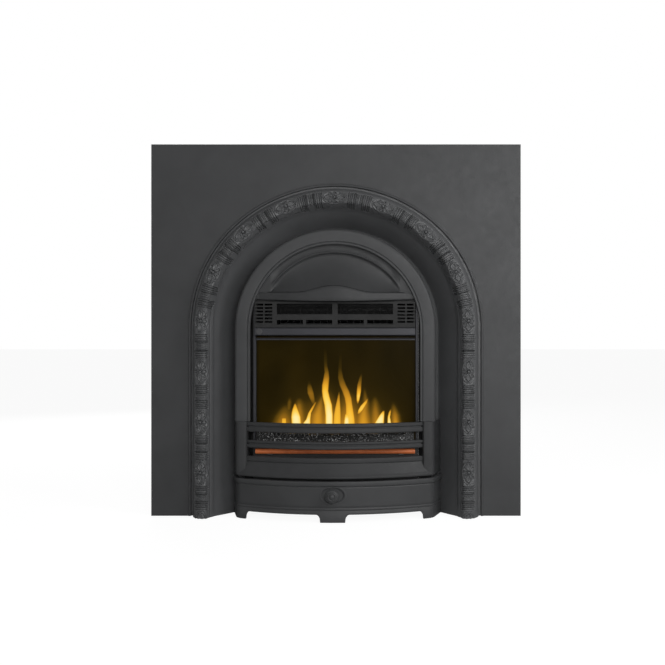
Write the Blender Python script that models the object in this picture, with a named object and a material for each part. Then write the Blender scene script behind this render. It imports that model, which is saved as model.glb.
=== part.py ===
"""Electric fireplace insert: an arched cast-iron plate with a fan-heated electric fire.

Metres, +Z up, front towards -Y, origin on the hearth under the middle of the object's box.
A protrusion is a distance forward from the front face of the plate, negative behind it.
"""

import math

import bmesh
import bpy
from mathutils import Matrix, Vector

# Clearances
GAP = 0.0003
SHAFT_CLEARANCE = 0.00035
TURNING_CLEARANCE = 0.003

# Cast plate round the arch, and the moulding that laps behind it
PLATE_WIDTH = 0.965
PLATE_HEIGHT = 0.970
PLATE_THICKNESS = 0.006
REBATE_DEPTH = 0.003
REBATE_WIDTH = 0.004
ARCH_SPRING = 0.487
CASTING_WALL = 0.005
ARCH_DROP = 0.0055
ARCH_FLATTENS = (25.0, 75.0)
BEAD_RADIUS = 0.3850
BEAD_WIDTH = 0.007
BEAD_HEIGHT = 0.003
GROOVE_WIDTH = 0.005
LEDGE_WIDTH = 0.001
LEDGE_HEIGHT = 0.002
ROLL_OUTER_WIDTH = 0.0295
ROLL_INNER_WIDTH = 0.012
ROLL_HEIGHT = 0.0375
ROLL_FULLNESS = 1.2
SHOULDER_DROP = 0.004
FLANK_WIDTH = 0.015
FLANK_FALL = 0.0295
REVEAL_RADIUS = 0.268
REVEAL_DEPTH = 0.0523
FLANGE_WIDTH = 0.018

# Arch frame and hood
FRAME_INNER_RADIUS = 0.219
FRAME_WIDTH = 0.041
FRAME_FRONT = 0.027
FRAME_FACE = 0.007
FRAME_WALL = 0.004
FRAME_BEAD = 0.008
HOOD_LAP = 0.011
HOOD_RIDGE_RADIUS = 0.1995
HOOD_RIDGE_WIDTH = 0.005
HOOD_RIDGE_HEIGHT = 0.0020
HOOD_THICKNESS = 0.004
HOOD_BULGE = 0.030
HOOD_BULGE_HALF = 0.190
HOOD_BOWL_DEPTH = 0.004
HOOD_LIP_HEIGHT = 0.018
HOOD_LIP_DIP = 0.006
HOOD_BROW_RISE = 0.017
HOOD_BROW_WIDTH = 0.100
HOOD_BOTTOM = 0.565
HOOD_HALF_WIDTH = 0.213

# Fret: bowed bars between two posts, over a sloping apron
BOW_RADIUS = 0.551
BOW_FRONT = 0.076
BAR_DEPTH = 0.010
BAR_FLUTE = 0.002
TOP_BAR = (0.223, 0.248)
MIDDLE_BAR = (0.182, 0.202)
LOW_BAR = (0.147, 0.161)
FRET_TOP = 0.249
POST_INNER = 0.226
POST_WIDTH = 0.032
POST_FRONT = 0.032
POST_WALL = 0.005
APRON_SLOPE = 0.014
APRON_TOP = 0.1462
APRON_GROOVE = 0.002
APRON_BOTTOM = 0.111
APRON_LIP = 0.005
APRON_CORNER = 0.251
RETURN_BACK = -0.041
RETURN_CLEARANCE = 0.0006

# Ash cover
COVER_TOP = 0.104
COVER_BOTTOM = 0.020
COVER_SET_BACK = 0.006
COVER_WALL = 0.005
COVER_LIP_HEIGHT = 0.0135
COVER_LIP_DEPTH = 0.003
COVER_GROOVES = (0.0895, 0.037, 0.030)
COVER_CORNER = 0.254
COVER_ROUND = 0.014
COVER_GROOVE_SIZE = 0.0022
CENTRE_FOOT_HALF = 0.0315
SIDE_FOOT_INNER = 0.2295
FOOT_FILLET = 0.011
FOOT_ROOT = 0.9
DISH_RADIUS = 0.028
DISH_DEPTH = 0.0022
DISH_SQUASH = 0.68
KNOB_HEIGHT = 0.069
KNOB_RADIUS = 0.017
KNOB_LENGTH = 0.026
KNOB_STUD_RADIUS = 0.003
KNOB_NUT_RADIUS = 0.006

# Sheet-metal case of the fire
CASE_HALF_WIDTH = 0.2150
CASE_BOTTOM = 0.020
CASE_HEIGHT = 0.568
CASE_FRONT = 0.006
CASE_DEPTH = 0.196
SHEET = 0.0015
CASE_FLANGE = 0.012
COLLAR_MARGIN = 0.006
RUNNER_X = (0.178, 0.203)
RUNNER_PROTRUSION = (-0.180, -0.060)

# Screen and its trims
SCREEN_THICKNESS = 0.004
SCREEN_FRONT = -0.002
SCREEN_TOP = 0.468
TRIM_WIDTH = 0.0057
TRIM_DEPTH = 0.0097
TOP_TRIM = (0.459, 0.465)
LINTEL = (0.471, 0.491)
LINTEL_FRONT = 0.024
LINTEL_WALL = 0.002
LENS_X = -0.1965
LENS_RADIUS = 0.0086
LENS_PROUD = 0.0015

# Air outlet grille
GRILLE_TOP = 0.557
GRILLE_FRONT = 0.026
GRILLE_FACE = 0.004
GRILLE_WALL = 0.002
WINDOW_OUTER = 0.150
WINDOW_INNER = 0.007
WINDOW_Z = (0.5255, 0.553)
SLOT_Z = (0.499, 0.511)
SLOT_RIB = 0.008
LOUVRE_INNER = 0.158
LOUVRE_COLUMN = 0.0200
LOUVRE_RIB = 0.0035
LOUVRE_PITCH = 0.0089
LOUVRE_SLOT = 0.0050
LOUVRE_ROWS = 6
MESH_THICKNESS = 0.0008
MESH_SLOTS = 12
MESH_WIRE = 0.0016
MESH_MARGIN = 0.003

# Blower, heater and duct
DUCT_Z = (0.495, 0.555)
DUCT_HALF_WIDTH = 0.204
DUCT_BACK = -0.072
ELEMENT_HALF_WIDTH = 0.150
ELEMENT_DEPTH = 0.016
ELEMENT_FRONT = -0.030
ELEMENT_FINS = 17
ELEMENT_FIN = 0.0015
ELEMENT_RAIL = 0.006
CUTOUT_RADIUS = 0.008
CUTOUT_HEIGHT = 0.009
CUTOUT_INSET = 0.028
FAN_RADIUS = 0.027
FAN_BLADES = 14
FAN_BLADE_DEPTH = 0.009
FAN_BLADE = 0.0011
FAN_DISC = 0.0025
FAN_HALF_LENGTH = 0.150
FAN_AXIS = (-0.112, 0.527)
FAN_SHAFT_RADIUS = 0.003
FAN_STUB = 0.014
SCROLL_GROWTH = 0.012
END_PLATE_SIZE = (0.084, 0.084)
FAN_MOTOR_RADIUS = 0.026
FAN_MOTOR_LENGTH = 0.034
BUSH_RADIUS = 0.008
BUSH_LENGTH = 0.008

# Flame effect
MASK_FRONT = -0.040
MASK_HALF_WIDTH = 0.208
MASK_Z = (0.205, 0.440)
MASK_FOOT = 0.014
MASK_FLAMES = 7
SPINDLE_AXIS = (-0.085, 0.235)
SPINDLE_RADIUS = 0.003
SPINDLE_HALF_LENGTH = 0.168
SPINDLE_STUB = 0.010
FLAG_COUNT = 18
FLAG_LENGTH = 0.022
FLAG_WIDTH = 0.011
FLAG_THICKNESS = 0.0010
FLAG_TWIST = 75.0
SPINDLE_MOTOR_RADIUS = 0.024
SPINDLE_MOTOR_LENGTH = 0.016
LAMP_X = 0.095
LAMP_PROTRUSION = -0.060
HOLDER_RADIUS = 0.012
HOLDER_HEIGHT = 0.034
LAMP_RADIUS = 0.0165
LAMP_HEIGHT = 0.062

# Fuel bed and ember tube
TRAY_Z = (0.1920, 0.1945)
TRAY_BACK = -0.100
TRAY_MARGIN = 0.0015
TRAY_LIGHT_HALF = 0.035
TRAY_LIGHT = (-0.094, -0.058)
BED_HEIGHT = 0.026
BED_HALF_WIDTH = 0.204
BED_LUMP = 0.004
TUBE_RADIUS = 0.0065
TUBE_HALF_LENGTH = 0.2065
TUBE_CENTRE = (0.017, 0.171)
CLIP_X = 0.170
CLIP_WIDTH = 0.012
CLIP_HEIGHT = 0.018

# Controls behind the ash cover
PANEL_SPLIT = 0.112
VENT_COUNT = 20
VENT_WIDTH = 0.005
VENT_Z = (0.118, 0.134)
SWITCH_X = (-0.075, -0.050, -0.025)
SWITCH_Z = 0.066
SWITCH_OPENING = (0.013, 0.023)
SWITCH_BODY_DEPTH = 0.022
SWITCH_BEZEL = 0.003
ROCKER_DEPTH = 0.006
ROCKER_TILT = 8.0
DIMMER_X = 0.060
DIMMER_RADIUS = 0.011
DIMMER_DEPTH = 0.014
DIMMER_SHAFT_RADIUS = 0.003
POT_RADIUS = 0.010
POT_DEPTH = 0.012
BOARD_SIZE = (0.110, 0.080)
BOARD_X = 0.140
BOARD_BOTTOM = 0.027
BOARD_THICKNESS = 0.0016
BOARD_STANDOFF = 0.012
BOARD_INSET = 0.006
STANDOFF_RADIUS = 0.003
RELAY_SIZE = (0.016, 0.012, 0.020)
CAPACITOR_RADIUS = 0.006
CAPACITOR_HEIGHT = 0.018
TERMINAL_SIZE = (0.046, 0.016, 0.018)
GLAND_RADIUS = 0.010
GLAND_BORE = 0.0045
GLAND_Z = 0.050
GLAND_PROTRUSION = -0.160
GLAND_PROUD = 0.006

# The object's box is centred on the origin, so the plate's place follows from both reaches.
COVER_FRONT = BOW_FRONT + APRON_SLOPE - COVER_SET_BACK
FRONT_REACH = COVER_FRONT + KNOB_LENGTH
BACK_REACH = CASE_DEPTH - CASE_FRONT
PLATE_Y = (FRONT_REACH - BACK_REACH) / 2

ARC_STEPS = 30
BOW_STEPS = 12
HOOD_COLUMNS = 26
SMOOTH_ANGLE = math.radians(35)


def y_of(protrusion):
    return PLATE_Y - protrusion


def material(name, colour, roughness, metallic):
    found = bpy.data.materials.get(name)
    if found:
        return found
    made = bpy.data.materials.new(name)
    made.use_nodes = True
    shader = made.node_tree.nodes["Principled BSDF"]
    shader.inputs["Base Color"].default_value = (*colour, 1.0)
    shader.inputs["Roughness"].default_value = roughness
    shader.inputs["Metallic"].default_value = metallic
    return made


def cast_iron():
    return material("cast_iron", (0.045, 0.045, 0.050), 0.55, 0.4)


def satin_metal():
    return material("satin_metal", (0.16, 0.16, 0.18), 0.35, 0.9)


def black_plastic():
    return material("black_plastic", (0.010, 0.010, 0.011), 0.45, 0.0)


def case_steel():
    return material("case_steel", (0.035, 0.035, 0.037), 0.5, 0.6)


def bright_steel():
    return material("bright_steel", (0.55, 0.55, 0.56), 0.25, 1.0)


def build_mesh(name, rings_closed, faces):
    mesh = bpy.data.meshes.new(name)
    mesh.from_pydata([tuple(point) for point in rings_closed], [], faces)
    return outward(mesh)


def outward(mesh):
    shell = bmesh.new()
    shell.from_mesh(mesh)
    bmesh.ops.recalc_face_normals(shell, faces=shell.faces)
    shell.to_mesh(mesh)
    shell.free()
    mesh.shade_smooth()
    mesh.set_sharp_from_angle(angle=SMOOTH_ANGLE)
    return mesh


def add(name, mesh, surface, origin=(0, 0, 0)):
    """Put a mesh with world coordinates in the scene, with its own origin."""
    mesh.transform(Matrix.Translation(-Vector(origin)))
    item = bpy.data.objects.new(name, mesh)
    item.location = origin
    bpy.context.collection.objects.link(item)
    mesh.materials.clear()
    mesh.materials.append(surface)
    return item


def helper(item, target, operation):
    """Join a shape to a piece, or cut it away, and keep the shape out of the model."""
    item.hide_render = True
    item.display_type = "WIRE"
    boolean = target.modifiers.new(item.name, "BOOLEAN")
    boolean.object = item
    boolean.operation = operation
    boolean.solver = "EXACT"
    return target


def unite(target, *meshes):
    for number, mesh in enumerate(meshes):
        shape = add(f"{target.name}_joined_{number}", mesh, target.data.materials[0])
        helper(shape, target, "UNION")
    return target


def cut(target, *meshes):
    for number, mesh in enumerate(meshes):
        shape = add(f"{target.name}_cut_{number}", mesh, target.data.materials[0])
        helper(shape, target, "DIFFERENCE")
    return target


def box(x, protrusion, z):
    """A box from three ranges, the middle one measured forward from the plate."""
    corners = [(a, y_of(b), c) for a in x for b in protrusion for c in z]
    faces = [(0, 1, 3, 2), (4, 5, 7, 6), (0, 1, 5, 4), (2, 3, 7, 6), (0, 2, 6, 4), (1, 3, 7, 5)]
    return build_mesh("box", corners, faces)


def loft(rings, closed=False):
    """Join rings of equal length with quads, and cap the ends unless the loft closes."""
    count = len(rings[0])
    points = [point for ring in rings for point in ring]
    faces = []
    spans = len(rings) if closed else len(rings) - 1
    for span in range(spans):
        here = span * count
        there = (span + 1) % len(rings) * count
        for i in range(count):
            j = (i + 1) % count
            faces.append((here + i, here + j, there + j, there + i))
    if not closed:
        faces.append(tuple(range(count)))
        faces.append(tuple(range(len(points) - count, len(points))))
    return build_mesh("loft", points, faces)


def prism_x(outline, low, high):
    """Extrude an outline of (protrusion, z) points along X."""
    return loft([[(x, y_of(p), z) for p, z in outline] for x in (low, high)])


def prism_y(outline, front, back):
    """Extrude an outline of (x, z) points along Y."""
    return loft([[(x, y_of(p), z) for x, z in outline] for p in (front, back)])


def prism_z(outline, low, high):
    """Extrude an outline of (x, protrusion) points upwards."""
    return loft([[(x, y_of(p), z) for x, p in outline] for z in (low, high)])


def turned(profile, centre, axis, steps=24):
    """Revolve (distance along the axis, radius) points that start and end on the axis."""
    along = Vector(axis)
    side = along.orthogonal().normalized()
    other = along.cross(side)
    rings = []
    for reach, radius in profile:
        ring = []
        for step in range(steps):
            angle = 2 * math.pi * step / steps
            spoke = side * math.cos(angle) + other * math.sin(angle)
            ring.append(Vector(centre) + along * reach + spoke * radius)
        rings.append(ring)
    return loft(rings)


def rod(centre, axis, radius, length, steps=16):
    """A cylinder from its first end's centre."""
    return turned([(0, radius), (length, radius)], centre, axis, steps)


def tube(centre, axis, radius, bore, length, steps=24):
    """A ring or sleeve, as a closed loft of its four edges."""
    along = Vector(axis)
    side = along.orthogonal().normalized()
    other = along.cross(side)
    profile = [(0, bore), (0, radius), (length, radius), (length, bore)]
    rings = []
    for step in range(steps):
        angle = 2 * math.pi * step / steps
        spoke = side * math.cos(angle) + other * math.sin(angle)
        rings.append([Vector(centre) + along * reach + spoke * r for reach, r in profile])
    return loft(rings, closed=True)


def cell_plate(xs, zs, is_open, front, back):
    """A flat plate on a grid of lines, left open in the cells that is_open names."""
    points = []
    index = {}
    faces = []

    def corner(i, k, p):
        key = (i, k, p)
        if key not in index:
            index[key] = len(points)
            points.append((xs[i], y_of(p), zs[k]))
        return index[key]

    def solid(i, k):
        inside = 0 <= i < len(xs) - 1 and 0 <= k < len(zs) - 1
        return inside and not is_open((xs[i] + xs[i + 1]) / 2, (zs[k] + zs[k + 1]) / 2)

    for i in range(len(xs) - 1):
        for k in range(len(zs) - 1):
            if not solid(i, k):
                continue
            for p in (front, back):
                faces.append([corner(i, k, p), corner(i + 1, k, p),
                              corner(i + 1, k + 1, p), corner(i, k + 1, p)])
            edges = {
                (i - 1, k): ((i, k), (i, k + 1)),
                (i + 1, k): ((i + 1, k), (i + 1, k + 1)),
                (i, k - 1): ((i, k), (i + 1, k)),
                (i, k + 1): ((i, k + 1), (i + 1, k + 1)),
            }
            for neighbour, (a, b) in edges.items():
                if not solid(*neighbour):
                    faces.append([corner(*a, front), corner(*b, front),
                                  corner(*b, back), corner(*a, back)])
    return build_mesh("cells", points, faces)


def arch_stations(bottom):
    """Stations along both jambs and the arch, each with a map from radius to (x, z)."""
    half = PLATE_WIDTH / 2
    corner = math.atan2(PLATE_HEIGHT - ARCH_SPRING, half)
    turns = []
    for low, high in ((0, corner), (corner, math.pi - corner), (math.pi - corner, math.pi)):
        steps = round(ARC_STEPS * (high - low) / math.pi)
        turns += [low + (high - low) * step / steps for step in range(steps)]
    turns.append(math.pi)
    stations = [(0.0, bottom)]
    stations += [(angle, ARCH_SPRING) for angle in turns]
    stations.append((math.pi, bottom))
    return stations


def edge_radius(angle):
    """Distance from the arch's centre to the plate's edge at an angle."""
    across = abs(math.cos(angle))
    up = math.sin(angle)
    reaches = []
    if across > 1e-9:
        reaches.append(PLATE_WIDTH / 2 / across)
    if up > 1e-9:
        reaches.append((PLATE_HEIGHT - ARCH_SPRING) / up)
    return min(reaches)


ROLL_CREST = BEAD_RADIUS - BEAD_WIDTH - GROOVE_WIDTH - LEDGE_WIDTH - ROLL_OUTER_WIDTH
SHOULDER = (ROLL_CREST - ROLL_INNER_WIDTH, ROLL_HEIGHT - SHOULDER_DROP)
REVEAL_MOUTH = (SHOULDER[0] - FLANK_WIDTH, SHOULDER[1] - FLANK_FALL)
FLANGE_INNER = REVEAL_RADIUS - FLANGE_WIDTH
FLANGE_BACK = -REVEAL_DEPTH - CASTING_WALL


def crown_drop(angle, radius):
    """How far the outer arch lies inside a half circle: most at its crown, none at its back."""
    start, end = ARCH_FLATTENS
    rise = 90.0 - abs(90.0 - math.degrees(angle))
    share = min(max((rise - start) / (end - start), 0.0), 1.0)
    depth = (radius - REVEAL_RADIUS) / (REVEAL_MOUTH[0] - REVEAL_RADIUS)
    return ARCH_DROP * share ** 2 * (3 - 2 * share) * min(max(depth, 0.0), 1.0)


def sweep_arch(section, bottom):
    """Sweep a section of (radius, protrusion) up a jamb, over the arch and down again.

    A radius of None follows the plate's outer edge.
    """
    rings = []
    for angle, height in arch_stations(bottom):
        ring = []
        for radius, protrusion in section:
            reach = radius - crown_drop(angle, radius) if radius else edge_radius(angle)
            x = reach * math.cos(angle)
            z = height + reach * math.sin(angle)
            ring.append((x, y_of(protrusion), z))
        rings.append(ring)
    return loft(rings)


def surround_plate():
    inner = BEAD_RADIUS - BEAD_WIDTH
    section = [(None, 0.0), (BEAD_RADIUS, 0.0)]
    for step in range(1, 4):
        angle = math.pi * step / 4
        radius = BEAD_RADIUS - BEAD_WIDTH / 2 * (1 - math.cos(angle))
        section.append((radius, BEAD_HEIGHT * math.sin(angle)))
    rebate = BEAD_RADIUS + REBATE_WIDTH
    section += [(inner, 0.0), (inner, -REBATE_DEPTH), (rebate, -REBATE_DEPTH)]
    section += [(rebate, -PLATE_THICKNESS), (None, -PLATE_THICKNESS)]
    return add("surround_plate", sweep_arch(section, 0.0), cast_iron())


def roll_curve(width, height, steps):
    """Points from a foot of the roll up to its crest, fuller or leaner than an ellipse."""
    points = []
    for step in range(steps):
        angle = math.pi / 2 * step / steps
        points.append((
            ROLL_CREST + width * math.cos(angle) ** ROLL_FULLNESS,
            LEDGE_HEIGHT + (height - LEDGE_HEIGHT) * math.sin(angle) ** ROLL_FULLNESS,
        ))
    return points


def moulding_section():
    """Lap in the plate's rebate, ledge, roll, shoulder, flank, splayed reveal, flange, back."""
    edge = BEAD_RADIUS - BEAD_WIDTH - GROOVE_WIDTH
    seat = -REBATE_DEPTH - GAP
    front = [(BEAD_RADIUS, seat), (edge, seat), (edge, LEDGE_HEIGHT)]
    front += roll_curve(ROLL_OUTER_WIDTH, ROLL_HEIGHT, 5)
    for step in range(4):
        angle = math.pi / 2 * step / 3
        front.append((
            ROLL_CREST - ROLL_INNER_WIDTH * math.sin(angle),
            ROLL_HEIGHT - SHOULDER_DROP * (1 - math.cos(angle)),
        ))
    front += [REVEAL_MOUTH, (REVEAL_RADIUS, -REVEAL_DEPTH), (FLANGE_INNER, -REVEAL_DEPTH)]
    back = [
        (FLANGE_INNER, FLANGE_BACK),
        (REVEAL_RADIUS + CASTING_WALL, FLANGE_BACK),
        (REVEAL_MOUTH[0] + CASTING_WALL, REVEAL_MOUTH[1]),
        (SHOULDER[0] + CASTING_WALL, SHOULDER[1] - CASTING_WALL),
    ]
    inside = roll_curve(ROLL_OUTER_WIDTH - CASTING_WALL, ROLL_HEIGHT - CASTING_WALL, 4)
    back += [(ROLL_CREST, ROLL_HEIGHT - CASTING_WALL)] + inside[::-1]
    back += [(inside[0][0], seat - CASTING_WALL), (BEAD_RADIUS, seat - CASTING_WALL)]
    return front + back


def arch_moulding():
    return add("arch_moulding", sweep_arch(moulding_section(), 0.0), cast_iron())


FRAME_OUTER = FRAME_INNER_RADIUS + FRAME_WIDTH
FRAME_BACK_FACE = FRAME_FRONT - FRAME_FACE
SEAT_ON_FLANGE = -REVEAL_DEPTH + GAP


def arch_frame():
    inner = FRAME_INNER_RADIUS
    section = [
        (FRAME_OUTER, SEAT_ON_FLANGE),
        (FRAME_OUTER, FRAME_FRONT - FRAME_WALL),
        (FRAME_OUTER - FRAME_WALL, FRAME_FRONT),
        (inner + FRAME_BEAD, FRAME_FRONT),
        (inner + 0.8 * FRAME_BEAD, FRAME_FRONT - FRAME_BEAD / 4),
        (inner + 0.6 * FRAME_BEAD, FRAME_FRONT),
        (inner + 0.2 * FRAME_BEAD, FRAME_FRONT),
        (inner, FRAME_FRONT - FRAME_BEAD / 3),
        (inner, FRAME_BACK_FACE),
        (FRAME_OUTER - FRAME_WALL, FRAME_BACK_FACE),
        (FRAME_OUTER - FRAME_WALL, SEAT_ON_FLANGE),
    ]
    return add("arch_frame", sweep_arch(section, FRET_TOP + GAP), cast_iron())


def brow_height(x):
    """Height of the raised line across the hood: a crest in the middle, level beside it."""
    level = HOOD_BOTTOM + HOOD_LIP_HEIGHT - HOOD_LIP_DIP / 3
    share = min(abs(x) / HOOD_BROW_WIDTH, 1.0)
    return level + HOOD_BROW_RISE * (1 + math.cos(math.pi * share)) / 2


def lip_height(x):
    share = min(abs(x) / HOOD_HALF_WIDTH, 1.0)
    return HOOD_BOTTOM - HOOD_LIP_DIP * math.cos(math.pi / 2 * share)


def lip_protrusion(x):
    """How far the hood's lip stands out: flush behind the frame, bowed in the middle."""
    share = min(abs(x) / HOOD_BULGE_HALF, 1.0)
    return FRAME_BACK_FACE - GAP + HOOD_BULGE * (1 - share ** 2) ** 0.8


def hood_column(x):
    """Points down one column of the hood's front, from the hidden rim to the lip."""
    flush = FRAME_BACK_FACE - GAP
    brow = brow_height(x)
    ridge_out = HOOD_RIDGE_RADIUS + HOOD_RIDGE_WIDTH / 2
    ridge_in = HOOD_RIDGE_RADIUS - HOOD_RIDGE_WIDTH / 2
    rows = [
        (FRAME_INNER_RADIUS + HOOD_LAP, flush),
        (ridge_out, flush),
        (ridge_out - HOOD_RIDGE_WIDTH / 4, flush + HOOD_RIDGE_HEIGHT),
        (ridge_in + HOOD_RIDGE_WIDTH / 4, flush + HOOD_RIDGE_HEIGHT),
        (ridge_in, flush - HOOD_BOWL_DEPTH / 2),
    ]
    heights = []
    for number, (radius, protrusion) in enumerate(rows):
        rise = math.sqrt(max(radius ** 2 - x ** 2, 0.0))
        least = brow + 0.0006 * (9 - number)
        heights.append((max(ARCH_SPRING + rise, least), protrusion))
    top = heights[-1][0]
    # The ridge and the bowl fade out where the brow meets the arch.
    fade = min(max((top - brow - 0.0030) / 0.015, 0.0), 1.0)
    points = [heights[0]]
    points += [(z, flush + (p - flush) * fade) for z, p in heights[1:]]
    lip = lip_protrusion(x)
    floor = flush - HOOD_BOWL_DEPTH * fade
    for share in (0.25, 0.5, 0.75, 1.0):
        z = top + (brow - top) * share
        points.append((z, floor + (lip - floor) * share ** 2.2))
    points.append((brow - 0.002, lip + 0.0012 * min(1.0, (lip - flush) / 0.004)))
    points.append((lip_height(x), lip))
    return points


def canopy_hood():
    front = []
    back = []
    for step in range(HOOD_COLUMNS + 1):
        x = HOOD_HALF_WIDTH * math.sin(math.pi / 2 * (2 * step / HOOD_COLUMNS - 1))
        column = hood_column(x)
        front.append([(x, y_of(p), z) for z, p in column])
        back.append([(x, y_of(p - HOOD_THICKNESS), z) for z, p in column])
    rings = [f + b[::-1] for f, b in zip(front, back)]
    return add("canopy_hood", loft(rings), cast_iron())


def bow(x, radius=BOW_RADIUS, front=BOW_FRONT):
    """Protrusion of a bowed front at x."""
    return front - (radius - math.sqrt(radius ** 2 - x ** 2))


def bow_points(half, radius, front):
    points = []
    for step in range(BOW_STEPS + 1):
        x = half * (2 * step / BOW_STEPS - 1)
        points.append((x, bow(x, radius, front)))
    return points


def reveal_radius(protrusion):
    """Radius of the splayed reveal at a protrusion."""
    share = (protrusion + REVEAL_DEPTH) / (REVEAL_MOUTH[1] + REVEAL_DEPTH)
    return REVEAL_RADIUS + (REVEAL_MOUTH[0] - REVEAL_RADIUS) * share


RETURN_END = (reveal_radius(RETURN_BACK) - COVER_LIP_DEPTH - RETURN_CLEARANCE, RETURN_BACK)


def rounded_front(front, corner_x, rounding, xs=()):
    """Plan of the apron or cover: flared return, rounded corner and bow, mirrored."""
    radius = BOW_RADIUS + APRON_SLOPE
    corner = (corner_x, bow(corner_x, radius, front))
    start_x = corner_x - rounding
    start = (start_x, bow(start_x, radius, front))
    share = rounding / math.dist(corner, RETURN_END)
    end = tuple(a + (b - a) * share for a, b in zip(corner, RETURN_END))
    side = []
    for step in range(1, 4 if rounding else 1):
        t = step / 3
        side.append(tuple(
            (1 - t) ** 2 * a + 2 * t * (1 - t) * b + t ** 2 * c
            for a, b, c in zip(start, corner, end)
        ))
    side.append(RETURN_END)
    middle = [(x, bow(x, radius, front)) for x in xs] or bow_points(start_x, radius, front)
    return [(-x, p) for x, p in reversed(side)] + middle + side


def mitres(path):
    """Outward mitre vectors of a plan path that runs from -X to +X round the front."""
    found = []
    for i, here in enumerate(path):
        before = path[max(i - 1, 0)]
        after = path[min(i + 1, len(path) - 1)]
        normals = []
        for a, b in ((before, here), (here, after)):
            run = Vector((b[0] - a[0], b[1] - a[1]))
            if run.length > 0:
                run.normalize()
                normals.append(Vector((-run.y, run.x)))
        middle = sum(normals, Vector((0, 0))).normalized()
        found.append(middle / max(middle.dot(normals[0]), 0.3))
    # The ends are cut square to the plate, so that every layer stops in one plane.
    for end in (0, -1):
        found[end] = Vector((found[end].length_squared / found[end].x, 0))
    return found


def sweep_plan(path, section_of):
    """Sweep a section of (offset, z) points along a plan path, with mitred corners."""
    rings = []
    for i, (here, mitre) in enumerate(zip(path, mitres(path))):
        ring = []
        for offset, z in section_of(i):
            x, p = Vector(here) + mitre * offset
            ring.append((x, y_of(p), z))
        rings.append(ring)
    return loft(rings)


def bar_section(low, high, fluted=True):
    middle = low + 0.55 * (high - low)
    points = [(-BAR_DEPTH, low), (-BAR_FLUTE, low), (0.0, low + BAR_FLUTE)]
    if fluted:
        points += [
            (0.0, middle - 1.5 * BAR_FLUTE),
            (-BAR_FLUTE, middle - BAR_FLUTE / 2),
            (-BAR_FLUTE, middle + BAR_FLUTE / 2),
            (0.0, middle + 1.5 * BAR_FLUTE),
        ]
    points += [(0.0, high - BAR_FLUTE), (-BAR_FLUTE, high), (-BAR_DEPTH, high)]
    return points


def post_outline(side):
    """Plan of a post: inner cheek, rounded front and the return flared to the reveal."""
    inner = POST_INNER
    outer = POST_INNER + POST_WIDTH
    front = POST_FRONT
    wall = POST_WALL
    points = [
        (inner, CASE_FRONT),
        (inner, front - 0.006),
        (inner + 0.0025, front - 0.0015),
        (inner + 0.006, front),
        (outer - 0.011, front),
        (outer - 0.004, front - 0.003),
        (outer - 0.0005, front - 0.009),
        (outer, front - 0.016),
        (RETURN_END[0] - 2 * GAP, RETURN_END[1] + 2 * GAP),
        (RETURN_END[0] - wall, RETURN_END[1] + 2 * GAP),
        (outer - wall, front - 0.017),
        (outer - 0.008, front - 0.007),
        (outer - 0.013, front - wall),
        (inner + wall + 0.002, front - wall),
        (inner + wall, front - wall - 0.002),
        (inner + wall, CASE_FRONT),
    ]
    return [(side * x, p) for x, p in points]


def fire_fret():
    lip_front = BOW_FRONT + APRON_SLOPE
    neck = -APRON_SLOPE - APRON_GROOVE
    apron = [
        (neck - POST_WALL, APRON_TOP + APRON_LIP),
        (neck, APRON_TOP + APRON_LIP),
        (neck, APRON_TOP),
        (-APRON_SLOPE / 4, APRON_BOTTOM + 2 * APRON_LIP),
        (0.0, APRON_BOTTOM + APRON_LIP),
        (0.0, APRON_BOTTOM),
        (-POST_WALL, APRON_BOTTOM),
        (-POST_WALL, APRON_BOTTOM + APRON_LIP),
    ]
    path = rounded_front(lip_front, APRON_CORNER, 0.0)
    fret = add("fire_fret", sweep_plan(path, lambda i: apron), cast_iron())
    post_foot = APRON_BOTTOM + APRON_LIP / 2
    posts = [prism_z(post_outline(side), post_foot, FRET_TOP) for side in (-1, 1)]
    bars = []
    reach = POST_INNER + POST_WALL / 2
    for (low, high), fluted in ((TOP_BAR, True), (MIDDLE_BAR, True), (LOW_BAR, False)):
        section = bar_section(low, high, fluted)
        path = bow_points(reach, BOW_RADIUS, BOW_FRONT)
        bars.append(sweep_plan(path, lambda i, section=section: section))
    return unite(fret, *posts, *bars)


def cover_stations():
    """Distances from the middle where the cover's lower edge steps down to a foot."""
    centre = [0.0, CENTRE_FOOT_HALF / 2, CENTRE_FOOT_HALF]
    centre += [CENTRE_FOOT_HALF + FOOT_FILLET * share for share in (0.12, 0.4, 1.0)]
    sides = [SIDE_FOOT_INNER - FOOT_FILLET * share for share in (1.0, 0.4, 0.12, 0.0)]
    sides.append(COVER_CORNER - COVER_ROUND)
    first = centre[-1]
    last = sides[0]
    between = [first + (last - first) * step / 4 for step in range(1, 4)]
    half = centre + between + sides
    return [-x for x in reversed(half[1:])] + half


def foot_height(x):
    """Height of the cover's lower edge: the hearth under a foot, with rounded roots."""
    away = max(abs(x) - CENTRE_FOOT_HALF, 0.0)
    if abs(x) > (CENTRE_FOOT_HALF + SIDE_FOOT_INNER) / 2:
        away = max(SIDE_FOOT_INNER - abs(x), 0.0)
    if away <= 0:
        return 0.0
    share = min(away / FOOT_FILLET, 1.0)
    root = FOOT_ROOT * COVER_BOTTOM * (1 - math.sqrt(max(1 - (1 - share) ** 2, 0.0)))
    return COVER_BOTTOM - root


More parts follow.
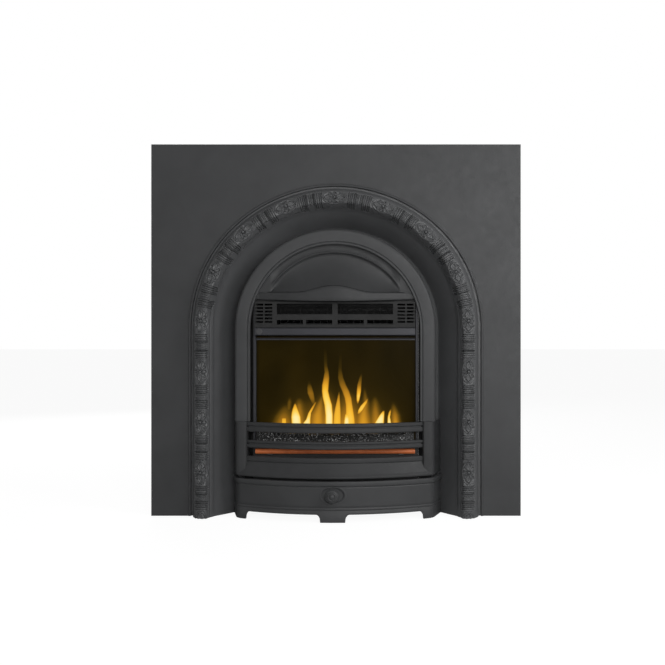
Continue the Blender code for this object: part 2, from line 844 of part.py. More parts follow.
def cover_section(bottom):
    notch = COVER_GROOVE_SIZE
    points = [(-COVER_WALL, bottom), (0.0, bottom)]
    for height in reversed(COVER_GROOVES[1:]):
        points += [(0.0, height - notch), (-notch / 2, height), (0.0, height + notch)]
    points += [
        (0.0, COVER_GROOVES[0] - notch),
        (-notch / 2, COVER_GROOVES[0]),
        (COVER_LIP_DEPTH / 2, COVER_TOP - COVER_LIP_HEIGHT),
        (COVER_LIP_DEPTH, COVER_TOP - COVER_LIP_HEIGHT + COVER_LIP_DEPTH),
        (COVER_LIP_DEPTH, COVER_TOP - COVER_LIP_DEPTH / 2),
        (COVER_LIP_DEPTH / 2, COVER_TOP),
        (-COVER_WALL, COVER_TOP),
    ]
    return points


def ash_cover():
    path = rounded_front(COVER_FRONT, COVER_CORNER, COVER_ROUND, cover_stations())
    heights = [foot_height(x) for x, p in path]
    sections = [cover_section(height) for height in heights]
    cover = add("ash_cover", sweep_plan(path, lambda i: sections[i]), cast_iron())
    floor = Vector((0, y_of(COVER_FRONT - DISH_DEPTH), KNOB_HEIGHT))
    dish = turned(
        [(0, KNOB_RADIUS), (DISH_DEPTH * 0.4, KNOB_RADIUS * 1.2),
         (DISH_DEPTH, DISH_RADIUS), (3 * DISH_DEPTH, DISH_RADIUS)],
        floor, (0, -1, 0), 24,
    )
    squash = Matrix.Scale(DISH_SQUASH, 4, (0, 0, 1))
    dish.transform(Matrix.Translation(floor) @ squash @ Matrix.Translation(-floor))
    hole = rod(
        (0, y_of(COVER_FRONT - 2 * COVER_WALL), KNOB_HEIGHT), (0, -1, 0),
        KNOB_STUD_RADIUS + GAP, 4 * COVER_WALL,
    )
    return cut(cover, dish, hole)


KNOB_FACE = COVER_FRONT - DISH_DEPTH + GAP
KNOB_BACK = COVER_FRONT - COVER_WALL - GAP


def cover_knob():
    stud_end = KNOB_BACK - KNOB_NUT_RADIUS
    neck = KNOB_RADIUS * 0.5
    length = FRONT_REACH - KNOB_FACE
    start = KNOB_FACE - stud_end
    profile = [
        (0, KNOB_STUD_RADIUS),
        (start, KNOB_STUD_RADIUS),
        (start, neck * 1.25),
        (start + 0.12 * length, neck * 1.2),
        (start + 0.30 * length, neck),
        (start + 0.42 * length, KNOB_RADIUS * 0.86),
        (start + 0.52 * length, KNOB_RADIUS),
        (start + 0.66 * length, KNOB_RADIUS),
        (start + 0.78 * length, KNOB_RADIUS * 0.86),
        (start + 0.78 * length, KNOB_RADIUS * 0.72),
        (start + 0.90 * length, KNOB_RADIUS * 0.60),
        (start + 0.86 * length, KNOB_RADIUS * 0.44),
        (start + 0.90 * length, KNOB_RADIUS * 0.38),
        (start + length, KNOB_RADIUS * 0.20),
    ]
    knob = turned(profile, (0, y_of(stud_end), KNOB_HEIGHT), (0, -1, 0), 20)
    return add("cover_knob", knob, cast_iron())


def knob_nut():
    length = KNOB_NUT_RADIUS * 0.8
    nut = add("knob_nut", rod((0, y_of(KNOB_BACK), KNOB_HEIGHT), (0, 1, 0), KNOB_NUT_RADIUS,
                              length, 6), bright_steel())
    bore = rod((0, y_of(KNOB_BACK + length), KNOB_HEIGHT), (0, 1, 0),
               KNOB_STUD_RADIUS + SHAFT_CLEARANCE, 3 * length, 16)
    return cut(nut, bore)


CASE_BACK = -BACK_REACH
CASE_INNER = CASE_HALF_WIDTH - SHEET
CASE_INNER_TOP = CASE_HEIGHT - SHEET
FIT_HALF = CASE_INNER - GAP
SIDE_LAP_BACK = CASE_BACK + SHEET + GAP
SIDE_LAP_FRONT = SIDE_LAP_BACK + SHEET
CASE_FLOOR = CASE_BOTTOM + SHEET
BETWEEN_TRIMS = FIT_HALF - TRIM_WIDTH - GAP


def case_base():
    outline = [
        (CASE_FRONT, CASE_BOTTOM), (CASE_FRONT, CASE_BOTTOM + CASE_FLANGE),
        (CASE_FRONT - SHEET, CASE_BOTTOM + CASE_FLANGE), (CASE_FRONT - SHEET, CASE_FLOOR),
        (SIDE_LAP_FRONT + GAP, CASE_FLOOR), (SIDE_LAP_FRONT + GAP, CASE_BOTTOM),
    ]
    return add("case_base", prism_x(outline, -FIT_HALF, FIT_HALF), case_steel())


def case_top():
    sheet = box((-CASE_HALF_WIDTH, CASE_HALF_WIDTH), (CASE_BACK, CASE_FRONT),
                (CASE_INNER_TOP, CASE_HEIGHT))
    lip = box((-FIT_HALF, FIT_HALF), (CASE_FRONT - SHEET, CASE_FRONT - SHEET / 8),
              (GRILLE_TOP + GAP, CASE_HEIGHT - SHEET / 2))
    return unite(add("case_top", sheet, case_steel()), lip)


def case_side(name, side):
    outer = side * CASE_HALF_WIDTH
    inner = side * CASE_INNER
    lap = side * (CASE_INNER - CASE_FLANGE)
    outline = [
        (outer, CASE_FRONT), (inner, CASE_FRONT), (inner, SIDE_LAP_FRONT), (lap, SIDE_LAP_FRONT),
        (lap, SIDE_LAP_BACK), (outer, SIDE_LAP_BACK),
    ]
    return add(name, prism_z(outline, CASE_BOTTOM, CASE_INNER_TOP - GAP), case_steel())


def case_back():
    panel = box((-CASE_HALF_WIDTH, CASE_HALF_WIDTH), (CASE_BACK, CASE_BACK + SHEET),
                (CASE_BOTTOM, CASE_INNER_TOP - GAP))
    return add("case_back", panel, case_steel())


def case_runner(name, side):
    """Channel under the case that stands on the hearth."""
    inner, outer = (side * x for x in RUNNER_X)
    web = outer - side * SHEET
    top = CASE_BOTTOM - GAP
    outline = [
        (inner, 0.0), (outer, 0.0), (outer, top), (inner, top), (inner, top - SHEET),
        (web, top - SHEET), (web, SHEET), (inner, SHEET),
    ]
    return add(name, prism_y(outline, *RUNNER_PROTRUSION), case_steel())


def mounting_collar():
    """Flat collar round the case that bolts behind the plate's flange."""
    front = FLANGE_BACK - GAP
    outer = FLANGE_INNER + COLLAR_MARGIN
    section = [
        (outer, front), (outer, front - SHEET),
        (CASE_HALF_WIDTH + GAP, front - SHEET), (CASE_HALF_WIDTH + GAP, front),
    ]
    half = CASE_HALF_WIDTH + GAP
    top = CASE_HEIGHT + GAP
    points = [(outer, 0.0)]
    for step in range(19):
        angle = math.pi * step / 18
        points.append((outer * math.cos(angle), ARCH_SPRING + outer * math.sin(angle)))
    points += [(-outer, 0.0), (-half, 0.0), (-half, top), (half, top), (half, 0.0)]
    return add("mounting_collar", prism_y(points, section[0][1], section[1][1]), case_steel())


def flame_screen():
    screen = box((-FIT_HALF, FIT_HALF), (SCREEN_FRONT - SCREEN_THICKNESS, SCREEN_FRONT),
                 (TRAY_Z[1] + GAP, SCREEN_TOP))
    return add("flame_screen", screen, material("smoked_acrylic", (0.02, 0.015, 0.004), 0.1, 0.0))


def screen_trim(name, side):
    outer = side * FIT_HALF
    inner = side * (FIT_HALF - TRIM_WIDTH)
    front = SCREEN_FRONT + GAP + TRIM_DEPTH
    outline = [
        (outer, SCREEN_FRONT + GAP), (inner, SCREEN_FRONT + GAP),
        (inner, front - TRIM_WIDTH / 3), (inner + side * TRIM_WIDTH / 3, front), (outer, front),
    ]
    return add(name, prism_z(outline, TRAY_Z[1] + GAP, GRILLE_TOP), satin_metal())


def screen_top_trim():
    half = BETWEEN_TRIMS
    low, high = TOP_TRIM
    back = SCREEN_FRONT + GAP
    outline = [
        (back, low), (back + TRIM_DEPTH * 0.6, low), (back + TRIM_DEPTH * 0.6, low + 0.002),
        (back + TRIM_DEPTH * 0.4, high), (back, high),
    ]
    return add("screen_top_trim", prism_x(outline, -half, half), satin_metal())


def lintel_bar():
    low, high = LINTEL
    back = SCREEN_FRONT - SCREEN_THICKNESS
    front = LINTEL_FRONT
    wall = LINTEL_WALL
    outline = [
        (back, low), (front - wall, low), (front, low + wall), (front, high - wall),
        (front - wall, high), (back, high), (back, high - wall), (front - 2 * wall, high - wall),
        (front - 2 * wall, low + wall), (back, low + wall),
    ]
    bar = add("lintel_bar", prism_x(outline, -BETWEEN_TRIMS, BETWEEN_TRIMS), satin_metal())
    middle = (low + high) / 2
    hole = rod((LENS_X, y_of(front - 4 * wall), middle), (0, -1, 0),
               LENS_RADIUS * 0.7 + GAP, 8 * wall, 20)
    return cut(bar, hole)


def receiver_lens():
    middle = sum(LINTEL) / 2
    back = LINTEL_FRONT - 3 * LINTEL_WALL
    face = LINTEL_FRONT + GAP - back
    profile = [
        (0, LENS_RADIUS * 0.7), (face, LENS_RADIUS * 0.7), (face, LENS_RADIUS),
        (face + LENS_PROUD / 2, LENS_RADIUS), (face + LENS_PROUD, LENS_RADIUS * 0.75),
    ]
    lens = turned(profile, (LENS_X, y_of(back), middle), (0, -1, 0), 20)
    return add("receiver_lens", lens, material("dark_lens", (0.03, 0.03, 0.035), 0.3, 0.0))


def heater_grille():
    xs = {BETWEEN_TRIMS, WINDOW_OUTER, WINDOW_INNER, LOUVRE_INNER}
    louvres = []
    x = LOUVRE_INNER + LOUVRE_RIB
    while x + LOUVRE_COLUMN < BETWEEN_TRIMS:
        louvres.append((x, x + LOUVRE_COLUMN))
        xs.update(louvres[-1])
        x += LOUVRE_COLUMN + LOUVRE_RIB
    slots = []
    width = (WINDOW_OUTER - WINDOW_INNER - SLOT_RIB) / 2
    for number in range(2):
        start = WINDOW_INNER + number * (width + SLOT_RIB)
        slots.append((start, start + width))
        xs.update(slots[-1])
    xs = sorted({round(sign * x, 6) for x in xs for sign in (-1, 1)})
    bottom = LINTEL[1] + GAP
    rows = []
    for number in range(LOUVRE_ROWS):
        top = WINDOW_Z[1] - number * LOUVRE_PITCH
        rows.append((top - LOUVRE_SLOT, top))
    zs = {bottom, GRILLE_TOP, *WINDOW_Z, *SLOT_Z}
    for row in rows:
        zs.update(row)
    zs = sorted({round(z, 6) for z in zs})

    def within(value, ranges):
        return any(low < value < high for low, high in ranges)

    def is_open(x, z):
        x = abs(x)
        window = WINDOW_INNER < x < WINDOW_OUTER and within(z, [WINDOW_Z])
        slot = within(x, slots) and within(z, [SLOT_Z])
        louvre = within(x, louvres) and within(z, rows)
        return window or slot or louvre

    face = cell_plate(xs, zs, is_open, GRILLE_FRONT, GRILLE_FRONT - GRILLE_FACE)
    grille = add("heater_grille", face, black_plastic())
    back = CASE_FRONT - SHEET - GAP
    half = BETWEEN_TRIMS
    wall = GRILLE_WALL
    overlap = GRILLE_FRONT - GRILLE_FACE / 2
    outline = [
        (-half, bottom), (half, bottom), (half, GRILLE_TOP), (-half, GRILLE_TOP),
    ]
    skirt = loft([
        [(x, y_of(p), z) for x, z in outline] for p in (overlap, back)
    ])
    hollow = box((-half + wall, half - wall), (back - wall, GRILLE_FRONT),
                 (bottom + wall, GRILLE_TOP - wall))
    ring = add("grille_skirt", skirt, black_plastic())
    cut(ring, hollow)
    return helper(ring, grille, "UNION")


def outlet_mesh():
    """Punched sheet behind the grille's two windows."""
    half = WINDOW_OUTER + MESH_MARGIN
    pitch = (WINDOW_OUTER - WINDOW_INNER) / MESH_SLOTS
    lines = [half]
    for number in range(MESH_SLOTS):
        start = WINDOW_INNER + number * pitch
        lines += [start + MESH_WIRE / 2, start + pitch - MESH_WIRE / 2]
    xs = sorted({round(sign * x, 6) for x in lines for sign in (-1, 1)})
    low = WINDOW_Z[0] - MESH_MARGIN
    high = WINDOW_Z[1] + MESH_MARGIN / 2
    middle = sum(WINDOW_Z) / 2
    rows = [(WINDOW_Z[0], middle - MESH_WIRE / 2), (middle + MESH_WIRE / 2, WINDOW_Z[1])]
    zs = sorted({low, high, *rows[0], *rows[1]})

    def is_open(x, z):
        x = abs(x)
        place = (x - WINDOW_INNER) % pitch
        column = WINDOW_INNER < x < WINDOW_OUTER and MESH_WIRE / 2 < place < pitch - MESH_WIRE / 2
        return column and any(a < z < b for a, b in rows)

    front = GRILLE_FRONT - GRILLE_FACE - GAP
    sheet = cell_plate(xs, zs, is_open, front, front - MESH_THICKNESS)
    return add("outlet_mesh", sheet, case_steel())


def rectangle_tube(half, z, front, back, wall):
    outer = [(-half, z[0]), (half, z[0]), (half, z[1]), (-half, z[1])]
    inner = [(-half + wall, z[0] + wall), (half - wall, z[0] + wall),
             (half - wall, z[1] - wall), (-half + wall, z[1] - wall)]
    rings = []
    for a, b in zip(outer, inner):
        rings.append([(a[0], y_of(front), a[1]), (a[0], y_of(back), a[1]),
                      (b[0], y_of(back), b[1]), (b[0], y_of(front), b[1])])
    return loft(rings, closed=True)


def outlet_duct():
    front = GRILLE_FRONT - GRILLE_FACE - GRILLE_WALL
    duct = rectangle_tube(DUCT_HALF_WIDTH, DUCT_Z, front, DUCT_BACK, SHEET)
    return add("outlet_duct", duct, bright_steel())


def heating_element():
    """Finned heater block: three rails with two rows of fins, standing in the duct."""
    low = DUCT_Z[0] + SHEET + GAP
    high = DUCT_Z[1] - SHEET - GAP
    half = ELEMENT_HALF_WIDTH
    middle = (low + high) / 2
    rows = [(low + ELEMENT_RAIL, middle - ELEMENT_RAIL / 2),
            (middle + ELEMENT_RAIL / 2, high - ELEMENT_RAIL)]
    pitch = (2 * half - ELEMENT_FIN) / ELEMENT_FINS
    spaces = []
    for number in range(ELEMENT_FINS):
        start = -half + ELEMENT_FIN + pitch * number
        spaces.append((start, start + pitch - ELEMENT_FIN))
    xs = sorted({-half, half, *(round(x, 6) for space in spaces for x in space)})
    zs = sorted({low, high, *rows[0], *rows[1]})

    def is_open(x, z):
        return any(a < x < b for a, b in spaces) and any(a < z < b for a, b in rows)

    block = cell_plate(xs, zs, is_open, ELEMENT_FRONT, ELEMENT_FRONT - ELEMENT_DEPTH)
    return add("heating_element", block, bright_steel())


def fan_centre(x):
    return (x, y_of(FAN_AXIS[0]), FAN_AXIS[1])


def fan_impeller():
    """Crossflow wheel: curved blades between two end discs, with a stub at each end."""
    centre = fan_centre(0)
    half = FAN_HALF_LENGTH
    ends = turned(
        [
            (-half - FAN_STUB, FAN_SHAFT_RADIUS), (-half - 0.002, FAN_SHAFT_RADIUS),
            (-half - 0.002, FAN_SHAFT_RADIUS * 2), (-half, FAN_SHAFT_RADIUS * 2),
            (-half, FAN_RADIUS), (-half + FAN_DISC, FAN_RADIUS),
            (-half + FAN_DISC, FAN_SHAFT_RADIUS), (half - FAN_DISC, FAN_SHAFT_RADIUS),
            (half - FAN_DISC, FAN_RADIUS), (half, FAN_RADIUS),
            (half, FAN_SHAFT_RADIUS * 2), (half + 0.002, FAN_SHAFT_RADIUS * 2),
            (half + 0.002, FAN_SHAFT_RADIUS), (half + FAN_STUB, FAN_SHAFT_RADIUS),
        ],
        centre, (1, 0, 0), 20,
    )
    wheel = add("fan_impeller", ends, black_plastic(), centre)
    outer = FAN_RADIUS - 0.0008
    inner = outer - FAN_BLADE_DEPTH
    blades = bmesh.new()
    for blade in range(FAN_BLADES):
        turn = 2 * math.pi * blade / FAN_BLADES
        outline = []
        for thick in (FAN_BLADE / 2, -FAN_BLADE / 2):
            arc = []
            for share in (0.0, 0.5, 1.0):
                radius = inner + (outer - inner) * share
                lean = turn + 0.30 * share ** 2 + thick / radius
                arc.append((FAN_AXIS[0] + radius * math.cos(lean),
                            FAN_AXIS[1] + radius * math.sin(lean)))
            outline += arc if thick > 0 else arc[::-1]
        overlap = FAN_DISC / 2
        blades.from_mesh(prism_x(outline, -half + overlap, half - overlap))
    mesh = bpy.data.meshes.new("blades")
    blades.to_mesh(mesh)
    blades.free()
    return unite(wheel, mesh)


def scroll_profile():
    """Sheet that runs from the duct's floor round the back of the wheel to its roof."""
    points = []
    for step in range(13):
        share = step / 12
        angle = math.radians(262 - 172 * share)
        radius = FAN_RADIUS + TURNING_CLEARANCE + SCROLL_GROWTH * (1 - share) * 0.2
        points.append((FAN_AXIS[0] + radius * math.cos(angle),
                       FAN_AXIS[1] + radius * math.sin(angle)))
    return points


def blower_scroll():
    inner = scroll_profile()
    outer = []
    for p, z in inner:
        away = Vector((p - FAN_AXIS[0], z - FAN_AXIS[1])).normalized() * SHEET
        outer.append((p + away.x, z + away.y))
    roof = FAN_AXIS[1] + FAN_RADIUS + TURNING_CLEARANCE
    lip = DUCT_BACK - GAP
    inner.append((lip, roof))
    outer.append((lip, roof + SHEET))
    half = FAN_HALF_LENGTH + TURNING_CLEARANCE
    scroll = prism_x(inner + outer[::-1], -half, half)
    return add("blower_scroll", scroll, case_steel())


END_INNER = FAN_HALF_LENGTH + TURNING_CLEARANCE + GAP


def blower_end(name, side):
    """End plate that holds the scroll and carries a bush or the motor."""
    depth, height = END_PLATE_SIZE
    front = DUCT_BACK - GAP
    top = CASE_INNER_TOP - GAP
    plate = box(sorted((side * END_INNER, side * (END_INNER + SHEET))), (front - depth, front),
                (top - height, top))
    end = add(name, plate, case_steel())
    hole = rod(fan_centre(side * (END_INNER - 0.005)), (side, 0, 0),
               BUSH_RADIUS * 0.7 + GAP, 0.015, 20)
    foot = box(sorted((side * (END_INNER + SHEET / 2), side * (END_INNER + CASE_FLANGE))),
               (front - depth, front), (top - SHEET, top))
    return cut(unite(end, foot), hole)


def fan_bearing():
    start = -(END_INNER + SHEET + GAP)
    flange = tube(fan_centre(start), (-1, 0, 0), BUSH_RADIUS,
                  FAN_SHAFT_RADIUS + SHAFT_CLEARANCE, BUSH_LENGTH / 2, 20)
    bush = add("fan_bearing", flange, material("bronze", (0.35, 0.22, 0.10), 0.4, 1.0))
    neck = tube(fan_centre(start + SHEET + GAP), (-1, 0, 0), BUSH_RADIUS * 0.7,
                FAN_SHAFT_RADIUS + SHAFT_CLEARANCE, BUSH_LENGTH, 20)
    return unite(bush, neck)


def fan_motor():
    start = END_INNER + SHEET + GAP
    profile = [
        (0, FAN_MOTOR_RADIUS), (FAN_MOTOR_LENGTH * 0.75, FAN_MOTOR_RADIUS),
        (FAN_MOTOR_LENGTH * 0.8, FAN_MOTOR_RADIUS * 0.9),
        (FAN_MOTOR_LENGTH * 0.8, FAN_MOTOR_RADIUS * 0.5),
        (FAN_MOTOR_LENGTH, FAN_MOTOR_RADIUS * 0.45),
    ]
    body = turned(profile, fan_centre(start), (1, 0, 0), 24)
    motor = add("fan_motor", body, bright_steel())
    bore = rod(fan_centre(start - 0.005), (1, 0, 0), FAN_SHAFT_RADIUS + SHAFT_CLEARANCE,
               FAN_STUB + 0.006, 16)
    return cut(motor, bore)


def thermal_cutout():
    top = DUCT_Z[1] + GAP
    rim = CUTOUT_HEIGHT / 2
    profile = [(0, CUTOUT_RADIUS), (rim, CUTOUT_RADIUS), (rim, CUTOUT_RADIUS * 0.75),
               (CUTOUT_HEIGHT, CUTOUT_RADIUS * 0.75)]
    x = ELEMENT_HALF_WIDTH - CUTOUT_INSET
    disc = turned(profile, (x, y_of(ELEMENT_FRONT), top), (0, 0, 1), 16)
    return add("thermal_cutout", disc, black_plastic())


def flame_mask():
    """Bright sheet with flame-shaped cut-outs that the light passes through."""
    low, high = MASK_Z
    half = MASK_HALF_WIDTH
    foot = TRAY_Z[1] + GAP
    outline = [
        (MASK_FRONT, foot), (MASK_FRONT, high), (MASK_FRONT - SHEET, high),
        (MASK_FRONT - SHEET, foot + SHEET), (MASK_FRONT - MASK_FOOT, foot + SHEET),
        (MASK_FRONT - MASK_FOOT, foot),
    ]
    mask = add("flame_mask", prism_x(outline, -half, half), bright_steel())
    pitch = 2 * half / (MASK_FLAMES + 1)
    cuts = bmesh.new()
    for number in range(MASK_FLAMES):
        x = (number - (MASK_FLAMES - 1) / 2) * pitch
        tall = (high - low) * (0.75 - 0.05 * abs(number - (MASK_FLAMES - 1) / 2))
        lean = pitch * 0.10 * (-1) ** number
        wide = pitch * 0.30
        flame = [
            (x - wide * 0.7, low + 0.02), (x + wide * 0.7, low + 0.02),
            (x + wide, low + 0.02 + tall * 0.18), (x + wide * 0.6, low + 0.02 + tall * 0.42),
            (x + wide * 0.3 + lean, low + 0.02 + tall * 0.70), (x + lean, low + 0.02 + tall),
            (x - wide * 0.3 + lean, low + 0.02 + tall * 0.66),
            (x - wide * 0.8, low + 0.02 + tall * 0.42), (x - wide, low + 0.02 + tall * 0.18),
        ]
        cuts.from_mesh(prism_y(flame, MASK_FRONT + 0.005, MASK_FRONT - 0.005))
    mesh = bpy.data.meshes.new("flames")
    cuts.to_mesh(mesh)
    cuts.free()
    return cut(mask, mesh)


def spindle_centre(x):
    return (x, y_of(SPINDLE_AXIS[0]), SPINDLE_AXIS[1])


def flame_spindle():
    """Shaft with bright flags in a spiral, which throw moving light on the screen."""
    half = SPINDLE_HALF_LENGTH
    shaft = rod(spindle_centre(-half - SPINDLE_STUB), (1, 0, 0), SPINDLE_RADIUS,
                2 * (half + SPINDLE_STUB), 12)
    spindle = add("flame_spindle", shaft, bright_steel(), spindle_centre(0))
    pitch = 2 * half / FLAG_COUNT
    flags = bmesh.new()
    for number in range(FLAG_COUNT):
        x = -half + pitch * (number + 0.5)
        turn = math.radians(FLAG_TWIST * number)
        out = Vector((0, math.cos(turn), math.sin(turn)))
        flat = Vector((0, -math.sin(turn), math.cos(turn))) * FLAG_THICKNESS / 2
        ring = []
        for reach, width in ((0.0, 0.5), (0.55, 1.0), (1.0, 0.55)):
            ring.append((out * (reach * FLAG_LENGTH + SPINDLE_RADIUS * 0.2), width * FLAG_WIDTH / 2))
        loops = []
        for side in (-1, 1):
            edge = [Vector(spindle_centre(x + wide)) + reach + flat * side for reach, wide in ring]
            edge += [Vector(spindle_centre(x - wide)) + reach + flat * side
                     for reach, wide in reversed(ring)]
            loops.append(edge)
        flags.from_mesh(loft(loops))
    mesh = bpy.data.meshes.new("flags")
    flags.to_mesh(mesh)
    flags.free()
    return unite(spindle, mesh)


BRACKET_INNER = SPINDLE_HALF_LENGTH + TURNING_CLEARANCE


def spindle_bracket(name, side):
    """Angle bracket on the tray that carries one end of the spindle."""
    foot = TRAY_Z[1] + GAP
    width = BUSH_RADIUS + 0.004
    p = SPINDLE_AXIS[0]
    x = sorted((side * BRACKET_INNER, side * (BRACKET_INNER + SHEET)))
    upright = add(name, box(x, (p - width, p + width), (foot, SPINDLE_AXIS[1] + width)),
                  case_steel())
    ledge = box(sorted((side * BRACKET_INNER, side * (BRACKET_INNER + CASE_FLANGE))),
                (p - width, p + width), (foot, foot + SHEET))
    hole = rod(spindle_centre(side * (BRACKET_INNER - 0.003)), (side, 0, 0),
               SPINDLE_RADIUS + SHAFT_CLEARANCE, 0.01, 16)
    return cut(unite(upright, ledge), hole)


def spindle_motor():
    start = BRACKET_INNER + SHEET + GAP
    profile = [
        (0, SPINDLE_MOTOR_RADIUS), (SPINDLE_MOTOR_LENGTH, SPINDLE_MOTOR_RADIUS),
        (SPINDLE_MOTOR_LENGTH, SPINDLE_MOTOR_RADIUS * 0.4),
        (SPINDLE_MOTOR_LENGTH + 0.003, SPINDLE_MOTOR_RADIUS * 0.4),
    ]
    body = turned(profile, spindle_centre(start), (1, 0, 0), 24)
    motor = add("spindle_motor", body, bright_steel())
    bore = rod(spindle_centre(start - 0.002), (1, 0, 0), SPINDLE_RADIUS + SHAFT_CLEARANCE,
               SPINDLE_STUB, 16)
    return cut(motor, bore)


def lampholder(name, side):
    base = (side * LAMP_X, y_of(LAMP_PROTRUSION), CASE_FLOOR + GAP)
    profile = [
        (0, HOLDER_RADIUS * 1.3), (0.003, HOLDER_RADIUS * 1.3), (0.003, HOLDER_RADIUS),
        (HOLDER_HEIGHT * 0.8, HOLDER_RADIUS), (HOLDER_HEIGHT, HOLDER_RADIUS * 0.9),
    ]
    return add(name, turned(profile, base, (0, 0, 1), 16), black_plastic())


def lamp(name, side):
    base = (side * LAMP_X, y_of(LAMP_PROTRUSION), CASE_FLOOR + HOLDER_HEIGHT + 2 * GAP)
    profile = [(0, LAMP_RADIUS * 0.55), (LAMP_HEIGHT * 0.16, LAMP_RADIUS * 0.6)]
    for step in range(1, 7):
        share = step / 7
        width = math.sin(math.pi * share ** 0.75) ** 0.7
        profile.append((LAMP_HEIGHT * (0.16 + 0.84 * share), LAMP_RADIUS * max(width, 0.3)))
    profile.append((LAMP_HEIGHT, LAMP_RADIUS * 0.08))
    glass = material("lamp_glass", (0.9, 0.85, 0.75), 0.1, 0.0)
    return add(name, turned(profile, base, (0, 0, 1), 12), glass)


def bed_outline(inset, back, half):
    """Plan between the screen and the back of the bowed bars."""
    points = []
    for step in range(13):
        x = half * (2 * step / 12 - 1)
        points.append((x, bow(x) - BAR_DEPTH - inset))
    return points + [(half, back), (-half, back)]


def fuel_bed_tray():
    """Shelf under the coals, open over each lamp so that its light gets up."""
    low, high = TRAY_Z
    tray = add("fuel_bed_tray",
               prism_z(bed_outline(TRAY_MARGIN, TRAY_BACK, FIT_HALF), low, high), case_steel())
    openings = []
    for middle in (-LAMP_X, LAMP_X):
        x = (middle - TRAY_LIGHT_HALF, middle + TRAY_LIGHT_HALF)
        openings.append(box(x, TRAY_LIGHT, (low - SHEET, high + SHEET)))
    return cut(tray, *openings)


def fuel_bed():
    """Moulded bed of coals: a bowed block with a lumpy top."""
    base = TRAY_Z[1] + GAP
    half = BED_HALF_WIDTH
    back = SCREEN_FRONT + GAP + TRIM_DEPTH + GAP
    columns = 30
    rows = 4
    rings = []
    for i in range(columns + 1):
        x = half * (2 * i / columns - 1)
        front = bow(x) - BAR_DEPTH - 2 * TRAY_MARGIN
        ring = [(x, y_of(back), base)]
        for k in range(rows + 1):
            p = back + (front - back) * k / rows
            lump = math.sin(x * 310 + 1.7 * k) * math.cos(x * 190 - 2.3 * k)
            ring.append((x, y_of(p), base + BED_HEIGHT + BED_LUMP * (lump - 1) * (0.4 + 0.1 * k)))
        ring.append((x, y_of(front), base))
        rings.append(ring)
    return add("fuel_bed", loft(rings), material("coal", (0.012, 0.012, 0.012), 0.25, 0.0))


def ember_tube():
    p, z = TUBE_CENTRE
    half = TUBE_HALF_LENGTH
    round_end = TUBE_RADIUS * 0.15
    profile = [
        (0, TUBE_RADIUS - round_end), (round_end, TUBE_RADIUS),
        (2 * half - round_end, TUBE_RADIUS), (2 * half, TUBE_RADIUS - round_end),
    ]
    glow = material("ember_orange", (0.30, 0.085, 0.026), 0.4, 0.0)
    return add("ember_tube", turned(profile, (-half, y_of(p), z), (1, 0, 0), 20), glow)


PANEL_FRONT = CASE_FRONT - SHEET - GAP
PANEL_BACK = PANEL_FRONT - SHEET


def ember_clip(name, side):
    """Saddle on the back plate that holds the tube from behind."""
    p, z = TUBE_CENTRE
    x = sorted((side * (CLIP_X - CLIP_WIDTH / 2), side * (CLIP_X + CLIP_WIDTH / 2)))
    block = box(x, (PANEL_FRONT + GAP, p), (z - CLIP_HEIGHT / 2, z + CLIP_HEIGHT / 2))
    clip = add(name, block, black_plastic())
    seat = rod((x[0] - 0.002, y_of(p), z), (1, 0, 0), TUBE_RADIUS + GAP, CLIP_WIDTH + 0.004, 24)
    return cut(clip, seat)


def ember_backplate():
    """Black plate behind the tube, with a row of air inlet slots under the apron."""
    half = FIT_HALF
    lines = [half]
    pitch = 2 * (half - CASE_FLANGE) / VENT_COUNT
    slots = []
    for number in range(VENT_COUNT):
        x = -half + CASE_FLANGE + pitch * (number + 0.5)
        slots.append((x - VENT_WIDTH / 2, x + VENT_WIDTH / 2))
        lines += slots[-1]
    xs = sorted({round(x, 6) for x in lines + [-half]})
    zs = [PANEL_SPLIT + GAP, *VENT_Z, TRAY_Z[0] - GAP]

    def is_open(x, z):
        return VENT_Z[0] < z < VENT_Z[1] and any(a < x < b for a, b in slots)

    plate = cell_plate(xs, zs, is_open, PANEL_FRONT, PANEL_BACK)
    return add("ember_backplate", plate, case_steel())


def control_panel():
    low = CASE_FLOOR + GAP
    panel = add("control_panel",
                box((-FIT_HALF, FIT_HALF), (PANEL_BACK, PANEL_FRONT), (low, PANEL_SPLIT)),
                case_steel())
    wide, tall = SWITCH_OPENING
    holes = []
    for x in SWITCH_X:
        reach = wide / 2 + SWITCH_BEZEL / 2
        holes.append(box((x - reach, x + reach), (PANEL_BACK - 0.002, PANEL_FRONT + 0.002),
                         (SWITCH_Z - tall / 2 - SWITCH_BEZEL / 2,
                          SWITCH_Z + tall / 2 + SWITCH_BEZEL / 2)))
    holes.append(rod((DIMMER_X, y_of(PANEL_BACK - 0.002), SWITCH_Z), (0, -1, 0),
                     DIMMER_SHAFT_RADIUS + 2 * GAP, 0.01, 16))
    return cut(panel, *holes)


